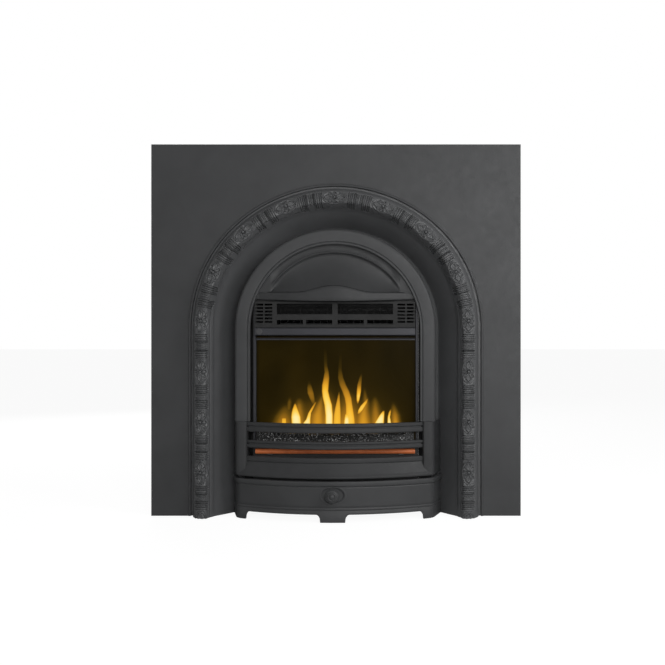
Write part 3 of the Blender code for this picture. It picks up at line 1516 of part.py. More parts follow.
def switch_body(name, x):
    """Snap-in rocker housing with its bezel on the panel's face."""
    wide, tall = SWITCH_OPENING
    wall = SWITCH_BEZEL / 2 - GAP
    face = PANEL_FRONT + GAP
    bezel = box((x - wide / 2 - SWITCH_BEZEL, x + wide / 2 + SWITCH_BEZEL),
                (face, face + 0.002),
                (SWITCH_Z - tall / 2 - SWITCH_BEZEL, SWITCH_Z + tall / 2 + SWITCH_BEZEL))
    body = add(name, bezel, black_plastic())
    core = box((x - wide / 2 - wall, x + wide / 2 + wall), (face - SWITCH_BODY_DEPTH, face + 0.001),
               (SWITCH_Z - tall / 2 - wall, SWITCH_Z + tall / 2 + wall))
    well = box((x - wide / 2, x + wide / 2), (face - ROCKER_DEPTH - 0.004, face + 0.004),
               (SWITCH_Z - tall / 2, SWITCH_Z + tall / 2))
    pin = rod((x - wide / 2 - wall / 2, y_of(face - ROCKER_DEPTH / 2), SWITCH_Z), (1, 0, 0),
              0.0012, wide + wall, 12)
    return unite(cut(unite(body, core), well), pin)


def rocker(name, x):
    """Rocker cap on the housing's cross pin, stored with its upper end pressed."""
    wide, tall = SWITCH_OPENING
    face = PANEL_FRONT + GAP
    axis_p = face - ROCKER_DEPTH / 2
    clear = 2 * GAP
    low = axis_p - 0.004
    high = face + 0.0025
    reach = tall / 2 - 4 * clear
    outline = [
        (low, SWITCH_Z - reach * 0.8), (low, SWITCH_Z + reach * 0.8),
        (high - 0.0015, SWITCH_Z + reach), (high, SWITCH_Z + reach),
        (high - 0.0012, SWITCH_Z), (high, SWITCH_Z - reach), (high - 0.0015, SWITCH_Z - reach),
    ]
    origin = (x, y_of(axis_p), SWITCH_Z)
    mesh = prism_x(outline, x - wide / 2 + clear, x + wide / 2 - clear)
    turn = Matrix.Rotation(math.radians(-ROCKER_TILT), 4, "X")
    mesh.transform(Matrix.Translation(origin) @ turn @ Matrix.Translation(-Vector(origin)))
    cap = add(name, mesh, black_plastic(), origin)
    bore = rod((x - wide, y_of(axis_p), SWITCH_Z), (1, 0, 0), 0.0012 + SHAFT_CLEARANCE,
               2 * wide, 16)
    return cut(cap, bore)


def dimmer_pot():
    face = PANEL_BACK - GAP
    base = (DIMMER_X, y_of(face - POT_DEPTH), SWITCH_Z)
    profile = [(0, POT_RADIUS), (POT_DEPTH, POT_RADIUS), (POT_DEPTH, DIMMER_SHAFT_RADIUS),
               (POT_DEPTH + SHEET + 0.008, DIMMER_SHAFT_RADIUS)]
    return add("dimmer_pot", turned(profile, base, (0, -1, 0), 20), bright_steel())


def dimmer_knob():
    start = PANEL_FRONT + 0.001
    origin = (DIMMER_X, y_of(start), SWITCH_Z)
    profile = [
        (0, DIMMER_RADIUS), (DIMMER_DEPTH * 0.2, DIMMER_RADIUS),
        (DIMMER_DEPTH * 0.2, DIMMER_RADIUS * 0.85), (DIMMER_DEPTH, DIMMER_RADIUS * 0.78),
    ]
    knob = add("dimmer_knob", turned(profile, origin, (0, -1, 0), 24), black_plastic(), origin)
    ridge = box((DIMMER_X - 0.0012, DIMMER_X + 0.0012),
                (start + DIMMER_DEPTH - 0.002, start + DIMMER_DEPTH + 0.0015),
                (SWITCH_Z, SWITCH_Z + DIMMER_RADIUS * 0.75))
    bore = rod((DIMMER_X, y_of(start - 0.002), SWITCH_Z), (0, -1, 0),
               DIMMER_SHAFT_RADIUS + SHAFT_CLEARANCE, 0.002 + 0.0085, 16)
    return cut(unite(knob, ridge), bore)


def control_board():
    wide, tall = BOARD_SIZE
    back = PANEL_BACK - GAP - BOARD_STANDOFF
    low = BOARD_BOTTOM
    x = (BOARD_X - wide / 2, BOARD_X + wide / 2)
    board = add("control_board", box(x, (back - BOARD_THICKNESS, back), (low, low + tall)),
                material("board_green", (0.02, 0.12, 0.05), 0.5, 0.0))
    core = back - BOARD_THICKNESS / 2
    posts = []
    for post_x in (x[0] + BOARD_INSET, x[1] - BOARD_INSET):
        for z in (low + BOARD_INSET, low + tall - BOARD_INSET):
            posts.append(rod((post_x, y_of(core), z), (0, -1, 0), STANDOFF_RADIUS,
                             BOARD_STANDOFF + BOARD_THICKNESS / 2, 10))
    relay_wide, relay_deep, relay_tall = RELAY_SIZE
    middle = low + tall / 2
    relay = box((BOARD_X - wide / 6 - relay_wide / 2, BOARD_X - wide / 6 + relay_wide / 2),
                (core - relay_deep, core), (middle - relay_tall / 2, middle + relay_tall / 2))
    capacitor = rod((BOARD_X + wide / 6, y_of(core), middle), (0, 1, 0), CAPACITOR_RADIUS,
                    CAPACITOR_HEIGHT, 14)
    return unite(board, *posts, relay, capacitor)


def terminal_block():
    wide, deep, tall = TERMINAL_SIZE
    x = FIT_HALF - CASE_FLANGE - wide
    back = GLAND_PROTRUSION + deep / 2
    base = CASE_FLOOR + GAP
    block = box((x, x + wide), (back - deep, back), (base, base + tall))
    terminals = add("terminal_block", block, black_plastic())
    ways = 3
    slots = []
    for number in range(ways - 1):
        place = x + wide * (number + 1) / ways
        slots.append(box((place - 0.001, place + 0.001), (back - deep - 0.001, back + 0.001),
                         (base + tall * 0.5, base + tall + 0.001)))
    return cut(terminals, *slots)


def cable_gland():
    """Inlet bush in the case's side, with a clear bore for the supply cable."""
    outer = CASE_HALF_WIDTH + GAP
    centre = (outer, y_of(GLAND_PROTRUSION), GLAND_Z)
    head = tube(centre, (1, 0, 0), GLAND_RADIUS, GLAND_BORE, GLAND_PROUD, 20)
    gland = add("cable_gland", head, black_plastic())
    neck = tube((outer + GLAND_PROUD / 2, centre[1], centre[2]), (-1, 0, 0),
                GLAND_RADIUS * 0.75, GLAND_BORE, GLAND_PROUD / 2 + SHEET + 0.006, 20)
    return unite(gland, neck)


def case_sides():
    left = case_side("case_left_side", -1)
    right = case_side("case_right_side", 1)
    hole = rod((CASE_INNER - 0.004, y_of(GLAND_PROTRUSION), GLAND_Z), (1, 0, 0),
               GLAND_RADIUS * 0.75 + GAP, 0.01, 20)
    cut(right, hole)
    return left, right


def main():
    for item in list(bpy.data.objects):
        bpy.data.objects.remove(item, do_unlink=True)
    surround_plate()
    arch_moulding()
    arch_frame()
    canopy_hood()
    fire_fret()
    ash_cover()
    cover_knob()
    knob_nut()
    case_base()
    case_top()
    case_sides()
    case_back()
    case_runner("left_runner", -1)
    case_runner("right_runner", 1)
    mounting_collar()
    flame_screen()
    screen_trim("left_screen_trim", -1)
    screen_trim("right_screen_trim", 1)
    screen_top_trim()
    lintel_bar()
    receiver_lens()
    heater_grille()
    outlet_mesh()
    outlet_duct()
    heating_element()
    fan_impeller()
    blower_scroll()
    blower_end("blower_left_end", -1)
    blower_end("blower_right_end", 1)
    fan_bearing()
    fan_motor()
    thermal_cutout()
    flame_mask()
    flame_spindle()
    spindle_bracket("spindle_left_bracket", -1)
    spindle_bracket("spindle_right_bracket", 1)
    spindle_motor()
    lampholder("left_lampholder", -1)
    lampholder("right_lampholder", 1)
    lamp("left_lamp", -1)
    lamp("right_lamp", 1)
    fuel_bed_tray()
    fuel_bed()
    ember_tube()
    ember_clip("left_ember_clip", -1)
    ember_clip("right_ember_clip", 1)
    ember_backplate()
    control_panel()
    names = ("power_switch", "low_heat_switch", "high_heat_switch")
    for name, x in zip(names, SWITCH_X):
        switch_body(name, x)
        rocker(name.replace("switch", "rocker"), x)
    dimmer_pot()
    dimmer_knob()
    control_board()
    terminal_block()
    cable_gland()


main()
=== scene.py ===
"""Looks of the electric fireplace insert: finer castings, ornament, coals, flames and finishes."""

import math
import random

import bmesh
import bpy
from mathutils import Matrix, Vector, noise


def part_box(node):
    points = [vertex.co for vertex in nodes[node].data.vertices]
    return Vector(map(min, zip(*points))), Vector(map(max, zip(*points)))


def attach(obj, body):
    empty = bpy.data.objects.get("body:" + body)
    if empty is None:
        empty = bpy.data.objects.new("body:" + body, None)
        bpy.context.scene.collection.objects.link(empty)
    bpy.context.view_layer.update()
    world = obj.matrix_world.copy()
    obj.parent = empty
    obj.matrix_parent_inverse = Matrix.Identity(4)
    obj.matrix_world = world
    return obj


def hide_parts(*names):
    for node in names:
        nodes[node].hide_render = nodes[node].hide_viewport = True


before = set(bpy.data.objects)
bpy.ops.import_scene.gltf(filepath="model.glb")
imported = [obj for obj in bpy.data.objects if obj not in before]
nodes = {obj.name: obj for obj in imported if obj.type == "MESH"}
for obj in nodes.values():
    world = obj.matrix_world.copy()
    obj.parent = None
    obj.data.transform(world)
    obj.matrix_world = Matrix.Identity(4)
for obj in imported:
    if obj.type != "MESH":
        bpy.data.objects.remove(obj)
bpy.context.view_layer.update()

MM = 0.001

# Sizes that the finer castings share with the solids they stand for
PLATE_HALF_WIDTH, PLATE_HEIGHT = 0.4825, 0.970
SPRING = 0.487
ARCH_DROP = 0.0055
ARCH_FLATTENS = (25.0, 75.0)
BEAD_RADIUS, BEAD_WIDTH, BEAD_HEIGHT = 0.3850, 0.007, 0.003
PLATE_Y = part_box("surround_plate")[0].y + BEAD_HEIGHT
MOULDING_EDGE = 0.3730
LEDGE_HEIGHT = 0.002
ROLL_OUTER, ROLL_INNER, ROLL_HEIGHT, FULLNESS = 0.0295, 0.012, 0.0375, 1.2
ROLL_CREST = 0.3425
SHOULDER = (0.3305, 0.0335)
MOUTH = (0.3155, 0.004)
REVEAL_RADIUS, REVEAL_DEPTH = 0.268, 0.0523
FLANGE_INNER, FLANGE_BACK = 0.250, -0.0573
WALL = 0.005
PLATE_THICKNESS = 0.006
REBATE_DEPTH, REBATE_WIDTH = 0.003, 0.004
GAP = 0.0003
HOOD_FOOT, HOOD_HALF_WIDTH = 0.565, 0.213
BOWL_RADIUS, BOWL_DEPTH = 0.1995, 0.0058
LIP_OUT, LIP_HALF_WIDTH = 0.030, 0.197
FRET_TOP = 0.249
BOW_RADIUS, BOW_FRONT = 0.551, 0.076
APRON_SLOPE = 0.014
COVER_FRONT, COVER_HALF_WIDTH = 0.084, 0.2400
MIDDLE_FOOT, SIDE_FOOT, FOOT_CURVE = 0.0315, 0.2295, 0.011
KNOB_HEIGHT, KNOB_RADIUS, KNOB_TIP = 0.069, 0.017, 0.110
COAL_BACK, COAL_SETBACK = 0.0085, 0.0132
COAL_FLOOR, COAL_FOOT = 0.1949, 0.1951
COAL_PIECES = 1900

# Ornament: the radius of its middle line, then its pattern in mm
MOTIF_RADIUS = 0.3445
HALF_STEP, HALF_GAP = 65.0, 33.5
BAND_OUTER, BAND_INNER, BAND_WIDENS = 17.6, -17.4, 7.0
OVAL_LONG, OVAL_WIDE, OVAL_BEADS = 29.0, 16.2, 56


def y_of(protrusion):
    return PLATE_Y - protrusion


def smooth(value, low, high):
    share = min(max((value - low) / (high - low), 0.0), 1.0)
    return share * share * (3 - 2 * share)


# -------- meshes

def piece(name, points, faces, surface, stands_for=(), body="fireplace", sharp=40, heats=()):
    mesh = bpy.data.meshes.new(name)
    mesh.from_pydata([tuple(point) for point in points], [], faces)
    shell = bmesh.new()
    shell.from_mesh(mesh)
    bmesh.ops.recalc_face_normals(shell, faces=shell.faces)
    shell.to_mesh(mesh)
    shell.free()
    if sharp:
        mesh.shade_smooth()
        mesh.set_sharp_from_angle(angle=math.radians(sharp))
    if heats:
        mesh.attributes.new("glow_level", "FLOAT", "POINT").data.foreach_set("value", heats)
    mesh.materials.append(surface)
    item = bpy.data.objects.new(name, mesh)
    bpy.context.collection.objects.link(item)
    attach(item, body)
    if stands_for:
        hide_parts(*stands_for)
    return item


def loft(rings, points=None, faces=None):
    """Points and faces that join rings of equal length, with capped ends."""
    points = [] if points is None else points
    faces = [] if faces is None else faces
    base = len(points)
    count = len(rings[0])
    points += [point for ring in rings for point in ring]
    for span in range(len(rings) - 1):
        here = base + span * count
        there = here + count
        for i in range(count):
            j = (i + 1) % count
            faces.append((here + i, here + j, there + j, there + i))
    faces.append(tuple(range(base, base + count)))
    faces.append(tuple(range(len(points) - count, len(points))))
    return points, faces


def filleted(outline, radius):
    """A closed outline with its sharper corners rounded."""
    result = []
    count = len(outline)
    steps = 3
    for i, here in enumerate(outline):
        before = Vector(outline[i - 1])
        after = Vector(outline[(i + 1) % count])
        point = Vector(here)
        to_before = before - point
        to_after = after - point
        turn = math.pi - to_before.angle(to_after)
        reach = min(radius * math.tan(turn / 2), 0.42 * to_before.length, 0.42 * to_after.length)
        a = point + to_before.normalized() * reach
        b = point + to_after.normalized() * reach
        for step in range(steps + 1):
            t = step / steps
            result.append(tuple((1 - t) ** 2 * a + 2 * t * (1 - t) * point + t ** 2 * b))
    return result


def flowing(points, steps):
    """Open polyline smoothed through its points."""
    result = []
    for i in range(len(points) - 1):
        p0 = Vector(points[max(i - 1, 0)])
        p1 = Vector(points[i])
        p2 = Vector(points[i + 1])
        p3 = Vector(points[min(i + 2, len(points) - 1)])
        for step in range(steps):
            t = step / steps
            result.append(0.5 * (2 * p1 + (p2 - p0) * t + (2 * p0 - 5 * p1 + 4 * p2 - p3) * t ** 2
                                 + (3 * p1 - p0 - 3 * p2 + p3) * t ** 3))
    result.append(Vector(points[-1]))
    return result


def turned(profile, centre, axis, steps):
    """Points and faces of a profile of (reach, radius) turned about an axis."""
    along = Vector(axis)
    side = along.orthogonal().normalized()
    other = along.cross(side)
    rings = []
    for reach, radius in profile:
        ring = []
        for step in range(steps):
            angle = 2 * math.pi * step / steps
            spoke = side * math.cos(angle) + other * math.sin(angle)
            ring.append(Vector(centre) + along * reach + spoke * radius)
        rings.append(ring)
    return loft(rings)


# -------- finishes

def new_material(name):
    made = bpy.data.materials.new(name)
    made.use_nodes = True
    tree = made.node_tree
    return made, tree, tree.nodes["Principled BSDF"]


def noise_node(tree, scale, detail, rough=0.5, distortion=0.0):
    place = tree.nodes.new("ShaderNodeTexCoord")
    made = tree.nodes.new("ShaderNodeTexNoise")
    made.inputs["Scale"].default_value = scale
    made.inputs["Detail"].default_value = detail
    made.inputs["Roughness"].default_value = rough
    made.inputs["Distortion"].default_value = distortion
    tree.links.new(place.outputs["Object"], made.inputs["Vector"])
    return made


def ramp_node(tree, source, stops):
    made = tree.nodes.new("ShaderNodeValToRGB")
    bar = made.color_ramp
    for element, (position, colour) in zip(bar.elements, (stops[0], stops[-1])):
        element.position = position
        element.color = (*colour, 1.0)
    for position, colour in stops[1:-1]:
        bar.elements.new(position).color = (*colour, 1.0)
    tree.links.new(source, made.inputs["Fac"])
    return made


def range_node(tree, source, low, high):
    made = tree.nodes.new("ShaderNodeMapRange")
    made.inputs["From Min"].default_value = 0.3
    made.inputs["From Max"].default_value = 0.7
    made.inputs["To Min"].default_value = low
    made.inputs["To Max"].default_value = high
    tree.links.new(source, made.inputs["Value"])
    return made


def finish(name, dark, light, rough, metallic=0.0, specular=0.5, *, mottle, grain, bump,
           depth=0.0003, coat=0.0):
    """A finish whose colour and gloss vary softly, with a fine grain in its bump."""
    made, tree, shader = new_material(name)
    broad = noise_node(tree, mottle, 4.0, 0.6, 0.4)
    colours = ramp_node(tree, broad.outputs["Fac"], [(0.3, dark), (0.7, light)])
    tree.links.new(colours.outputs["Color"], shader.inputs["Base Color"])
    medium = noise_node(tree, mottle * 7, 5.0, 0.65)
    gloss = range_node(tree, medium.outputs["Fac"], rough[1], rough[0])
    tree.links.new(gloss.outputs["Result"], shader.inputs["Roughness"])
    fine = noise_node(tree, grain, 3.0, 0.6)
    relief = tree.nodes.new("ShaderNodeBump")
    relief.inputs["Strength"].default_value = bump
    relief.inputs["Distance"].default_value = depth
    tree.links.new(fine.outputs["Fac"], relief.inputs["Height"])
    tree.links.new(relief.outputs["Normal"], shader.inputs["Normal"])
    shader.inputs["Metallic"].default_value = metallic
    shader.inputs["Specular IOR Level"].default_value = specular
    shader.inputs["Coat Weight"].default_value = coat
    shader.inputs["Coat Roughness"].default_value = 0.15
    return made


def level(value, tint=(1.0, 1.0, 1.0)):
    return tuple(value * part for part in tint)


IRON_TINT = (0.98, 1.0, 1.03)
cast_iron = finish("cast_iron_black", level(0.028, IRON_TINT), level(0.035, IRON_TINT),
                   (0.42, 0.55), specular=0.16, mottle=9.0, grain=1400.0, bump=0.2)
# Painted light: a lighter copy of the cast iron, for the arch moulding, standing in for light and sheen
# on its ornament and reveal
painted_light_iron = finish("cast_iron_painted_light", level(0.046, IRON_TINT), level(0.057, IRON_TINT),
                     (0.38, 0.50), specular=0.28, mottle=9.0, grain=1400.0, bump=0.2)
# Painted shade: a darker copy of the same cast iron, for the hood and the fret
painted_shade_iron = finish("cast_iron_painted_shade", level(0.021, IRON_TINT), level(0.027, IRON_TINT),
                   (0.40, 0.52), specular=0.14, mottle=9.0, grain=1400.0, bump=0.2)
case_steel = finish("case_steel_black", level(0.020), level(0.028), (0.38, 0.52), specular=0.12,
                    mottle=6.0, grain=2200.0, bump=0.08)
PEWTER_TINT = (0.95, 0.97, 1.12)
satin_metal = finish("satin_pewter", level(0.021, PEWTER_TINT), level(0.028, PEWTER_TINT),
                     (0.3, 0.42), 0.1, specular=0.15, mottle=10.0, grain=2600.0, bump=0.05)
# Painted shade: steel darkened so the inside of the heater reads as shade behind the grille
duct_steel_painted_shade = finish("duct_steel_painted_shade", level(0.020), level(0.030), (0.4, 0.5), 0.3, specular=0.1,
                    mottle=20.0, grain=1800.0, bump=0.08)
bright_steel = finish("bright_steel", level(0.42), level(0.58), (0.22, 0.34), 1.0,
                      mottle=20.0, grain=1800.0, bump=0.08)
grille_black = finish("grille_black", level(0.016), level(0.022), (0.4, 0.55), specular=0.05,
                      mottle=30.0, grain=2400.0, bump=0.12)
# Painted shade: the woven mesh is darkened to stand in for the hood's shadow over it
mesh_black_painted_shade = finish("mesh_black_painted_shade", level(0.003), level(0.006), (0.5, 0.65), specular=0.03,
                    mottle=30.0, grain=2400.0, bump=0.1)
black_plastic = finish("black_plastic", level(0.010), level(0.015), (0.35, 0.5),
                       mottle=40.0, grain=2000.0, bump=0.15)
LENS_TINT = (1, 1, 1.05)
dark_lens = finish("dark_lens", level(0.034, LENS_TINT), level(0.042, LENS_TINT), (0.35, 0.45),
                   specular=0.1, mottle=60.0, grain=3000.0, bump=0.02)
bronze = finish("bearing_bronze", (0.30, 0.18, 0.07), (0.42, 0.27, 0.12), (0.3, 0.45), 1.0,
                mottle=50.0, grain=2500.0, bump=0.15)
board_green = finish("board_green", (0.012, 0.08, 0.03), (0.02, 0.12, 0.05), (0.3, 0.45),
                     mottle=50.0, grain=2500.0, bump=0.05, coat=0.3)
coal = finish("coal_gloss", level(0.004), level(0.026), (0.08, 0.26), specular=1.0,
              mottle=160.0, grain=1600.0, bump=0.5, depth=0.0006)
coal_bed = finish("coal_bed", level(0.002), level(0.012), (0.35, 0.55), specular=0.15,
                  mottle=120.0, grain=1200.0, bump=0.6, depth=0.0008)


def clouded(name, cloud, stops, gloss):
    """A finish whose colour and gloss both follow one cloud of noise."""
    made, tree, shader = new_material(name)
    source = noise_node(tree, *cloud).outputs["Fac"]
    colour = ramp_node(tree, source, stops).outputs["Color"]
    tree.links.new(colour, shader.inputs["Base Color"])
    haze = range_node(tree, source, *gloss)
    tree.links.new(haze.outputs["Result"], shader.inputs["Roughness"])
    return made, tree, shader, colour


def lamp_glass():
    stops = [(0.3, (0.85, 0.80, 0.70)), (0.7, (0.95, 0.92, 0.85))]
    made, tree, shader, colour = clouded("lamp_glass", (40.0, 2.0), stops, (0.12, 0.2))
    shader.inputs["Transmission Weight"].default_value = 0.7
    return made


def ember_orange():
    """Orange acrylic tube: mottled, a little lit from inside."""
    stops = [(0.25, (0.20, 0.050, 0.016)), (0.6, (0.32, 0.088, 0.028)), (0.85, (0.42, 0.13, 0.040))]
    made, tree, shader, colour = clouded("ember_orange", (26.0, 4.0, 0.6, 0.6), stops, (0.28, 0.42))
    tree.links.new(colour, shader.inputs["Emission Color"])
    shader.inputs["Emission Strength"].default_value = 0.22
    shader.inputs["Specular IOR Level"].default_value = 0.25
    return made


# Colours of the flame picture from dark smoke to the palest core
FLAME_STOPS = [
    (0.00, (0.0065, 0.0042, 0.0004)),
    (0.14, (0.0300, 0.0175, 0.0016)),
    (0.30, (0.1400, 0.0700, 0.0050)),
    (0.45, (0.3500, 0.1550, 0.0100)),
    (0.60, (0.6700, 0.3050, 0.0180)),
    (0.75, (0.9400, 0.4900, 0.0330)),
    (0.88, (0.9900, 0.6700, 0.1150)),
    (1.00, (1.0000, 0.8400, 0.3800)),
]


def smoked_acrylic():
    """Smoked panel on which the moving light shows as flames."""
    stops = [(0.3, (0.002, 0.0015, 0.0004)), (0.7, (0.004, 0.003, 0.0008))]
    made, tree, shader, colour = clouded("smoked_acrylic", (7.0, 3.0, 0.6, 0.8), stops, (0.22, 0.30))
    heat = tree.nodes.new("ShaderNodeAttribute")
    heat.attribute_name = "glow_level"
    glow = ramp_node(tree, heat.outputs["Fac"], FLAME_STOPS)
    tree.links.new(glow.outputs["Color"], shader.inputs["Emission Color"])
    shader.inputs["Emission Strength"].default_value = 1.0
    shader.inputs["Specular IOR Level"].default_value = 0.01
    return made


# -------- arch castings

def crown_drop(angle, radius):
    """How far the arch lies below a half circle there; the reveal's end stays round."""
    start, end = ARCH_FLATTENS
    rise = 90.0 - abs(90.0 - math.degrees(angle))
    depth = (radius - REVEAL_RADIUS) / (MOUTH[0] - REVEAL_RADIUS)
    return ARCH_DROP * smooth(rise, start, end) * min(max(depth, 0.0), 1.0)


def edge_radius(angle):
    """Distance from the arch's centre to the plate's outer edge."""
    reaches = []
    if abs(math.cos(angle)) > 1e-9:
        reaches.append(PLATE_HALF_WIDTH / abs(math.cos(angle)))
    if math.sin(angle) > 1e-9:
        reaches.append((PLATE_HEIGHT - SPRING) / math.sin(angle))
    return min(reaches)


def arch_stations(bottom, arc_steps, jamb_steps, corners=()):
    """(angle, height, distance from the crown along the ornament's line) of each station."""
    turns = sorted({math.pi * step / arc_steps for step in range(arc_steps + 1)} | set(corners))
    half = MOTIF_RADIUS * math.pi / 2
    stations = []
    for step in range(jamb_steps):
        height = bottom + (SPRING - bottom) * step / jamb_steps
        stations.append((0.0, height, -half - (SPRING - height)))
    stations += [(angle, SPRING, MOTIF_RADIUS * (angle - math.pi / 2)) for angle in turns]
    for step in range(1, jamb_steps + 1):
        height = SPRING + (bottom - SPRING) * step / jamb_steps
        stations.append((math.pi, height, half + SPRING - height))
    return stations


def arch_point(angle, height, radius, protrusion):
    """A point of a swept section; a radius of 0 or less is measured from the plate's outer edge."""
    reach = radius - crown_drop(angle, radius) if radius > 0 else edge_radius(angle) + radius
    return (reach * math.cos(angle), y_of(protrusion), height + reach * math.sin(angle))


def sweep_arch(section, stations):
    return loft([[arch_point(a, h, r, p) for r, p in section] for a, h, _ in stations])


def surround_plate():
    inner = BEAD_RADIUS - BEAD_WIDTH
    section = [(-0.0002, -PLATE_THICKNESS), (-1e-6, -PLATE_THICKNESS + 0.0006), (-1e-6, -0.0010),
               (-0.0003, -0.0003), (-0.0010, 0.0), (-0.0020, 0.0), (BEAD_RADIUS + 0.0030, 0.0),
               (BEAD_RADIUS + 0.0008, 0.0), (BEAD_RADIUS, 0.0003)]
    for step in range(1, 12):
        angle = math.pi * step / 12
        section.append((BEAD_RADIUS - BEAD_WIDTH / 2 * (1 - math.cos(angle)),
                        0.0003 + (BEAD_HEIGHT - 0.0003) * math.sin(angle)))
    rebate = BEAD_RADIUS + REBATE_WIDTH
    section += [(inner, 0.0), (inner, -REBATE_DEPTH), (rebate, -REBATE_DEPTH), (rebate, -PLATE_THICKNESS)]
    corner = math.atan2(PLATE_HEIGHT - SPRING, PLATE_HALF_WIDTH)
    stations = arch_stations(0.0, 180, 6, (corner, math.pi - corner))
    points, faces = sweep_arch(section, stations)
    piece("cast_surround_plate", points, faces, cast_iron, ["surround_plate"])


def leaf(u, w, start, length, width, vein=0.9):
    """Relief of one hollow leaf along u from start: a raised rim, a sunk blade and a vein."""
    t = (u - start) / length
    if t < -0.06 or t > 1.06:
        return 0.0
    t = min(max(t, 0.0), 1.0)
    half = width * math.sin(math.pi * t ** 1.25) ** 0.75 if 0 < t < 1 else 0.0
    rim = math.exp(-((abs(w) - half) / 1.05) ** 2)
    inside = smooth(half - abs(w), -0.4, 0.9)
    middle = math.exp(-(w / 0.7) ** 2) * smooth(t, 0.05, 0.25) * smooth(0.95 - t, 0.0, 0.3)
    return 1.9 * rim - 0.9 * inside + vein * middle * inside


def rosette(s, v):
    """Round button, eight hollow leaves and an oval rope of beads."""
    s = abs(s)
    v = abs(v) if s > 4 else v
    distance = math.hypot(s, v)
    height = 0.0
    if distance < 3.3:
        height = 0.6 + 2.0 * math.sqrt(max(1 - (distance / 3.3) ** 2, 0.0))
    elif distance < 5.6:
        height = -1.5 * math.sin(math.pi * (distance - 3.3) / 2.3)
    height = max(height, leaf(s, v, 5.2, 20.0, 5.0), key=abs)
    height = max(height, leaf(abs(v), s, 5.0, 9.4, 3.9, 0.6), key=abs)
    tilt = math.radians(40.0)
    along = s * math.cos(tilt) + abs(v) * math.sin(tilt)
    across = -s * math.sin(tilt) + abs(v) * math.cos(tilt)
    height = max(height, leaf(along, across, 5.6, 13.0, 3.4, 0.5), key=abs)
    oval = math.hypot(s / OVAL_LONG, v / OVAL_WIDE)
    if oval > 0.5:
        away = (oval - 1.0) / (math.hypot(s / OVAL_LONG ** 2, v / OVAL_WIDE ** 2) / oval)
        turn = math.atan2(v / OVAL_WIDE, s / OVAL_LONG)
        rope = 1.7 * math.exp(-(away / 1.25) ** 2) * (0.75 + 0.25 * math.cos(OVAL_BEADS * turn))
        moat = -1.0 * math.exp(-((away + 2.5) / 1.1) ** 2)
        moat -= 0.9 * math.exp(-((away - 2.4) / 0.9) ** 2)
        if abs(away) < 4.5:
            height = max(height, rope + moat, key=abs) if away < 0 else rope + moat
    return height


def grooved(distance, pitch, depth):
    """Flat ridges with a groove at every whole pitch, measured down from the ridges."""
    away = abs((distance / pitch + 0.5) % 1.0 - 0.5) * pitch
    return -depth * (1 - smooth(away, 0.8, 1.5))


def between_rosettes(g, v):
    """Bars and reeds between two rosettes; g is measured from the middle."""
    if g < 9.6:
        return (0.2 + grooved(g + 2.4, 4.8, 2.6)) * smooth(17.0 - abs(v), 0.0, 3.0)
    if g < 13.7:
        return 1.5 + grooved(g - 9.6, 4.1, 4.0)
    return 0.6 + grooved(g - 13.7, 5.3, 3.4)


def relief(s, radius, arch_share):
    """Height of the ornament over the roll, in millimetres."""
    v = (radius - MOTIF_RADIUS) / MM
    place = (s / MM + HALF_STEP) % (2 * HALF_STEP) - HALF_STEP
    gap = HALF_STEP - abs(place)
    in_gap = gap < HALF_GAP
    inner = BAND_INNER - BAND_WIDENS * arch_share if in_gap else BAND_INNER
    height = 0.0
    if inner - 1.2 <= v <= BAND_OUTER:
        height = between_rosettes(gap, v) if in_gap else 1.4 * rosette(place, v)
        height *= smooth(BAND_OUTER - v, 0.0, 1.6) * smooth(v - inner, -1.2, 0.6)
    if v < -17.0:
        strip = 0.45 * math.exp(-((v + 18.6) / 0.9) ** 2) - 1.1 * math.exp(-((v + 21.0) / 0.8) ** 2)
        arris = 0.9 * math.exp(-((v + 24.8) / 1.1) ** 2)
        dentils = 0.0
        if not in_gap and -25.5 < v < -20.0:
            dentils = (0.9 * math.cos(2 * math.pi * s / (3.6 * MM)) * smooth(v, -25.5, -24.0)
                       * smooth(-20.0 - v, 0.0, 1.2))
        worked = dentils + 0.4 * arris if not in_gap else 0.0
        height += (strip + arris) * (1 - arch_share) + worked * arch_share
    return height


def dense_front():
    """The moulding's front from its foot over the crest to the mouth of the reveal."""
    line = []
    for step in range(121):
        angle = math.pi / 2 * step / 120
        line.append(Vector((ROLL_CREST + ROLL_OUTER * max(math.cos(angle), 0.0) ** FULLNESS,
                            LEDGE_HEIGHT + (ROLL_HEIGHT - LEDGE_HEIGHT) * math.sin(angle) ** FULLNESS)))
    drop = ROLL_HEIGHT - SHOULDER[1]
    for step in range(1, 41):
        angle = math.pi / 2 * step / 40
        line.append(Vector((ROLL_CREST - ROLL_INNER * math.sin(angle),
                            ROLL_HEIGHT - drop * (1 - math.cos(angle)))))
    for step in range(1, 61):
        line.append(Vector(SHOULDER).lerp(Vector(MOUTH), step / 60))
    return line


def resampled(line, spacing):
    """Points along a line at a spacing that depends on the radius there."""
    lengths = [0.0]
    for a, b in zip(line, line[1:]):
        lengths.append(lengths[-1] + (b - a).length)

    def at(distance):
        distance = min(max(distance, 0.0), lengths[-1])
        i = 0
        while i < len(lengths) - 2 and lengths[i + 1] < distance:
            i += 1
        run = lengths[i + 1] - lengths[i]
        return line[i].lerp(line[i + 1], (distance - lengths[i]) / run if run else 0.0)

    points = []
    distance = 0.0
    while distance < lengths[-1] - 0.0004:
        window = min(0.0011, distance, lengths[-1] - distance)
        spread = [at(distance + window * k) for k in (-1, -0.5, 0, 0.5, 1)]
        points.append(sum(spread, Vector((0, 0))) / 5)
        distance += spacing(points[-1].x)
    points.append(line[-1])
    return points


